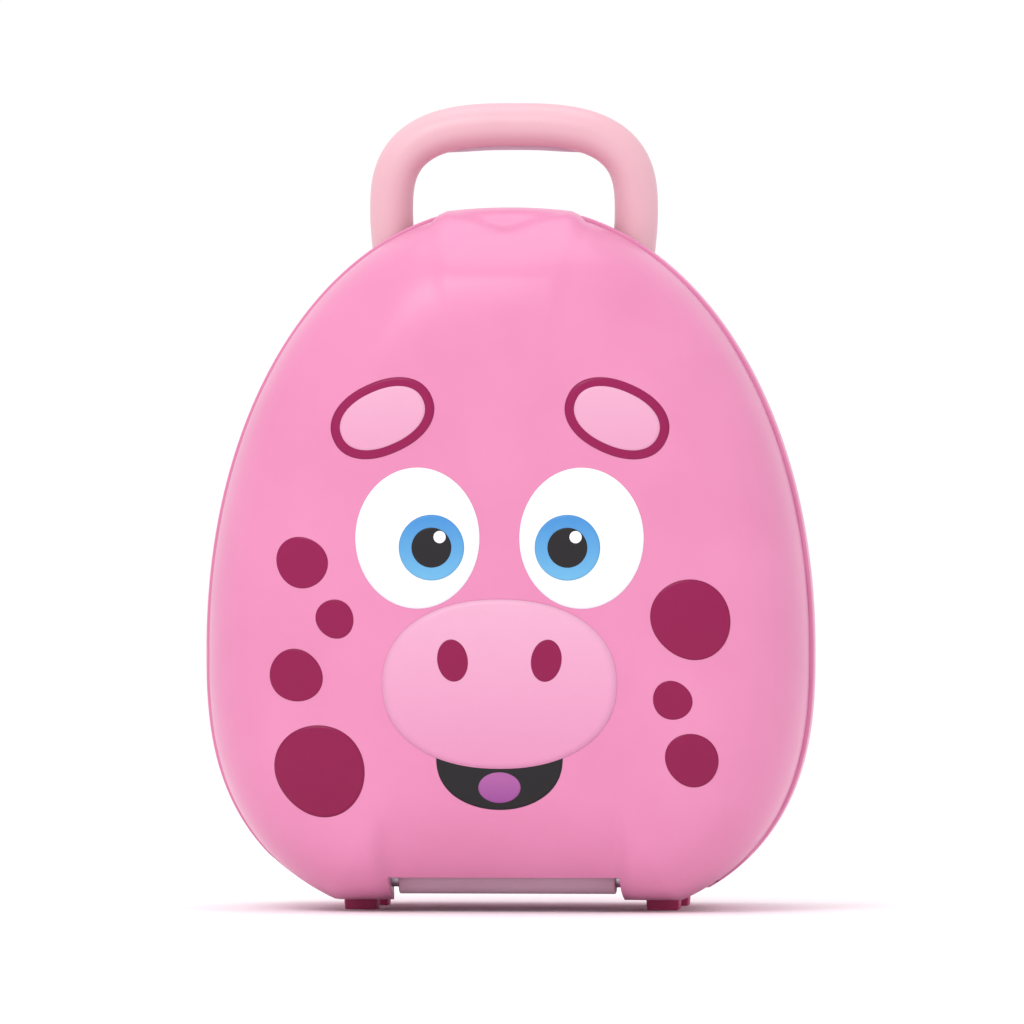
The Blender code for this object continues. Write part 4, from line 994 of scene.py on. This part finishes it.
def screw(low, high):
    """A domed screw between the ends of its node, head towards +Y."""
    length = high.y - low.y
    head_radius, head, shank = (high.x - low.x) / 2, 1.8 * MM, 1.6 * MM
    profile = [(0, 0), (0.4 * shank, 0.2 * MM)]
    pitch = 0.7 * MM
    height = 1.2 * MM
    while height < length - head - pitch:
        profile += [(0.78 * shank, height), (shank, height + pitch / 2)]
        height += pitch
    profile += [(0.85 * shank, length - head), (head_radius - 0.1 * MM, length - head)]
    profile += [(head_radius, length - head + 0.2 * MM), (head_radius, length - 0.9 * MM)]
    profile += [(head_radius * 0.86, length - 0.35 * MM), (head_radius * 0.5, length - 0.06 * MM)]
    made = turned(profile + [(0, length)], 32)
    arms = []
    for wide, deep in ((0.45 * head_radius, 0.42 * MM), (0.42 * MM, 0.45 * head_radius)):
        arms.append(block((-wide, -deep, length - 1.1 * MM), (wide, deep, length + 1 * MM)))
    made = carve(made, [carve(arms[0], [arms[1]], "UNION")])
    return laid(made, ((low.x + high.x) / 2, low.y, (low.z + high.z) / 2), (0, 1, 0))


for kind, count, body in (("deck", 4, "base"), ("liner", 6, "lid"), ("handle", 3, "handle")):
    for number in range(1, count + 1):
        node = f"{kind}_screw_{number}"
        piece(f"{kind}_fixing_{number}", screw(*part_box(node)), "screw_steel", body, node)

# %% Pins
def pin(length, radius, chamfer, head_radius=None, head=0.0):
    """A turned pin along Z, with chamfered ends and a flat head at its start if it has one."""
    first = head_radius or radius
    profile = [(0, 0), (first - chamfer, 0), (first, chamfer)]
    if head_radius:
        profile += [(head_radius, head), (radius, head)]
    return turned(profile + [(radius, length - chamfer), (radius - chamfer, length), (0, length)])


shape = pin(pin_high.x - pin_low.x, PIN_RADIUS, 0.5 * MM)
rod_along_hinge = laid(shape, (pin_low.x, HINGE.y, HINGE.z), (1, 0, 0))
piece("hinge_rod", rod_along_hinge, "screw_steel", "lid", "hinge_pin")
for side, hand in HANDS:
    low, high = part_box(f"handle_pin_{hand}")
    start = low.x if side > 0 else high.x
    shape = pin(high.x - low.x, AXLE_RADIUS, 0.4 * MM, (high.z - low.z) / 2, 1.5 * MM)
    axle = laid(shape, (start, PIVOT.y, PIVOT.z), (side, 0, 0))
    piece(f"handle_axle_{hand}", axle, "screw_steel", "base", f"handle_pin_{hand}")

# %% Feet
for number in range(1, 5):
    low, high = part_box(f"back_foot_{number}")
    radius, height = (high.x - low.x) / 2, high.y - SHELL_BACK_Y - GAP
    plug = SHELL_BACK_Y + GAP - low.y
    profile = [(0, -plug), (3.4 * MM, -plug), (3.7 * MM, -plug + 0.3 * MM), (3.7 * MM, 0)]
    profile += [(radius - 0.2 * MM, 0), (radius, 0.3 * MM), (radius - 0.1 * MM, height - 0.9 * MM)]
    profile += [(radius - 0.6 * MM, height - 0.25 * MM), (radius - 1.3 * MM, height)]
    for groove_radius, deep in ((6.2, 0), (5.9, 0.5), (4.9, 0.5), (4.6, 0)):  # a ring in the pad
        profile.append((groove_radius * MM, height - deep * MM))
    place = ((low.x + high.x) / 2, SHELL_BACK_Y + GAP, (low.z + high.z) / 2)
    pad = laid(turned(profile + [(0, height)], 64), place, (0, 1, 0))
    piece(f"back_pad_{number}", pad, "foot_rubber", "base", f"back_foot_{number}")
for number in range(1, 5):
    shape = bmesh.new()
    shape.from_mesh(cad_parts[f"standing_foot_{number}"].data)
    ops.remove_doubles(shape, verts=shape.verts, dist=0.01 * MM)
    ops.dissolve_limit(shape, angle_limit=radians(3), verts=shape.verts, edges=shape.edges)
    soften(shape, 0.7 * MM, 3, 55)
    piece(f"floor_foot_{number}", shape, "foot_rubber", "base", f"standing_foot_{number}")

# %% [markdown]
# # The printed face
# The lid carries a friendly animal face in flat inks. A picture projected on the shell can't be sharp at
# every distance. So each patch of ink is a film of its own, a few hundredths of a millimetre thick. Its
# outline is filled with smaller rings, and every point is dropped on the lid along Y.

# %% Inks
INK_CLOUD, INK_RIPPLE, INK_RIPPLE_HEIGHT = 6 * MM, 1.2 * MM, 0.008 * MM


def printed_ink(shade, upper, lower, bottom_mm, top_mm, roughness=0.34):
    """Screen-printed ink that fades upwards from one colour to another (painted shade where the lower one
    is darker), with the film's slight ripple.
    """
    material, tree, shader, here = blank("screen_print_" + shade)
    height = add_node(tree, "SeparateXYZ", links=here).outputs["Z"]
    limits = {"From Min": bottom_mm * MM, "From Max": top_mm * MM}
    # The fade with height paints shade: on every ink but the blue, the lower colour is the darker one.
    fade = add_node(tree, "MapRange", limits, {"Value": height})
    cloud = add_node(tree, "TexNoise", {"Scale": 1 / INK_CLOUD, "Detail": 2.0}, here)
    uneven = add_node(tree, "MapRange", {"To Min": -0.06, "To Max": 0.06}, {"Value": cloud})
    adding = {"operation": "ADD", "use_clamp": True}
    share = add_node(tree, "Math", adding, {0: fade, 1: uneven})
    shades = {"Color1": from_hex(lower), "Color2": from_hex(upper)}
    colour = add_node(tree, "MixRGB", shades, {"Fac": share})
    spread = {"To Min": roughness - 0.04, "To Max": roughness + 0.04}
    gloss = add_node(tree, "MapRange", spread, {"Value": cloud})
    peel = add_node(tree, "TexNoise", {"Scale": 1 / INK_RIPPLE, "Detail": 1.0}, here)
    bump = {"Strength": 1.0, "Distance": INK_RIPPLE_HEIGHT}
    film = add_node(tree, "Bump", bump, {"Height": peel})
    wire(tree, shader, colour, gloss, film)
    shader.inputs["Specular IOR Level"].default_value = 0.25
    return material


# On every ink but the blue the lower colour is darker: painted shade, as though lit from above, and on
# the muzzle also a printed gradient. The blue iris is printed lighter below.
magenta_ink = printed_ink("magenta", "#8C0E4C", "#820842", 40, 230)
ear_ink = printed_ink("rose", "#DCA2BD", "#D896B6", 198, 226)
muzzle_ink = printed_ink("pale_pink", "#DEA4C0", "#D68BB0", 62, 134)
white_ink = printed_ink("white", "#FBF8FB", "#EFEAF2", 130, 190, 0.3)
iris_ink = printed_ink("blue", "#4689C8", "#6CAED6", 140, 168, 0.3)
black_ink = printed_ink("black", "#201D20", "#1B181B", 40, 170, 0.3)
tongue_ink = printed_ink("plum", "#A35A98", "#8E458C", 46, 58)

# %% Outlines of the print
PRINT_POINTS = 96


def oval(x, z, half_width, half_height, tilt=0.0, power=2.0, wobble=0.0):
    """A closed outline about (x, z): an ellipse, squarer with a higher power, uneven with some wobble."""
    points = []
    for i, (c, s) in enumerate(rounded(power, PRINT_POINTS)):
        angle = tau * i / PRINT_POINTS
        uneven = 1 + wobble * (sin(2 * angle + 40 * x) + 0.5 * sin(3 * angle + 90 * z))
        across, up = half_width * uneven * c, half_height * uneven * s
        points.append((x + across * cos(tilt) - up * sin(tilt), z + across * sin(tilt) + up * cos(tilt)))
    return points


def smile(x, z, half_width, height):
    """An open smile: a full arc below the corners and a flat one above them."""
    points = []
    for i in range(PRINT_POINTS):
        angle = tau * i / PRINT_POINTS
        s = sin(angle)
        up = 0.1 * height * s if s > 0 else -height * abs(s) ** 0.85
        points.append((x + half_width * cos(angle), z + up))
    return points


# %% Laying ink on the lid
lid_surface = BVHTree.FromObject(lid_cover, bpy.context.evaluated_depsgraph_get())
FILM, FILM_STEP = 0.05 * MM, 0.08 * MM
FILL_RINGS = 14
films = []


def on_lid(x, z, lift):
    """The point of the lid's face at (x, z), raised along its normal."""
    place, normal, _, _ = lid_surface.ray_cast(Vector((x, -FAR, z)), Vector((0, 1, 0)))
    return place + normal * lift


def printed(name, outline, layer, ink):
    """A film of ink: its outline filled with smaller rings, in front and behind."""
    middle_x = sum(x for x, _ in outline) / len(outline)
    middle_z = sum(z for _, z in outline) / len(outline)
    lift = FILM_STEP * layer
    fills = [(1 - i / FILL_RINGS) for i in range(FILL_RINGS)]
    rings = []
    for share, height in [(f, lift) for f in reversed(fills)] + [(f, lift + FILM) for f in fills]:
        rings.append([
            on_lid(middle_x + (x - middle_x) * share, middle_z + (z - middle_z) * share, height)
            for x, z in outline
        ])
    films.append(shown(name, loft(rings), ink))
    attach(films[-1], "lid")


# %% The face
SPOTS = (  # x, z and radius in mm
    (-84.5, 149.6, 11.0), (-70.3, 125.6, 8.2), (-87.0, 101.5, 11.3), (-76.8, 61.0, 19.5),
    (81.5, 125.6, 17.0), (73.7, 91.2, 8.3), (81.9, 65.8, 11.3),
)
PAIRS = (  # what is on both sides: x, z and half sizes in mm, tilt, power, layer and ink
    ("ear", 50, 211, 23, 15.5, radians(-24), 2.2, 1, magenta_ink),
    ("ear_inside", 50, 211, 19, 11.8, radians(-24), 2.2, 2, ear_ink),
    ("eye", 35, 160, 26.5, 30, 0, 2, 1, white_ink),
    ("iris", 29, 156, 14, 14, 0, 2, 2, iris_ink),
    ("pupil", 29, 156, 8.5, 8.5, 0, 2, 3, black_ink),
)
for number, (x, z, radius) in enumerate(SPOTS, 1):
    spot = oval(x * MM, z * MM, radius * MM, radius * MM, wobble=0.035)
    printed(f"spot_{number}", spot, 1, magenta_ink)
for side, hand in HANDS:
    for name, x, z, half_width, half_height, tilt, power, layer, ink in PAIRS:
        outline = oval(side * x * MM, z * MM, half_width * MM, half_height * MM, side * tilt, power)
        printed(f"{name}_{hand}", outline, layer, ink)
    printed(f"glint_{hand}", oval((side * 29 + 3.5) * MM, 160.5 * MM, 2.6 * MM, 2.6 * MM), 4, white_ink)
printed("smile", smile(0, 67 * MM, 27 * MM, 22.5 * MM), 1, black_ink)
printed("tongue", oval(0, 54 * MM, 9 * MM, 6.5 * MM), 2, tongue_ink)
printed("muzzle", oval(0, 98 * MM, 50 * MM, 36 * MM, power=2.2), 2, muzzle_ink)
for side, hand in HANDS:
    nostril = oval(side * 20 * MM, 108 * MM, 6.5 * MM, 9 * MM, side * -0.15)
    printed(f"nostril_{hand}", nostril, 3, magenta_ink)
print("ink films:", len(films))

# %% [markdown]
# # Measuring the size
# The finished pieces are meant to keep to the imported model's box; their overall size is printed.

# %% Size and finish
low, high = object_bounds()
print("case now:", [round(side / MM, 1) for side in high - low], "mm")
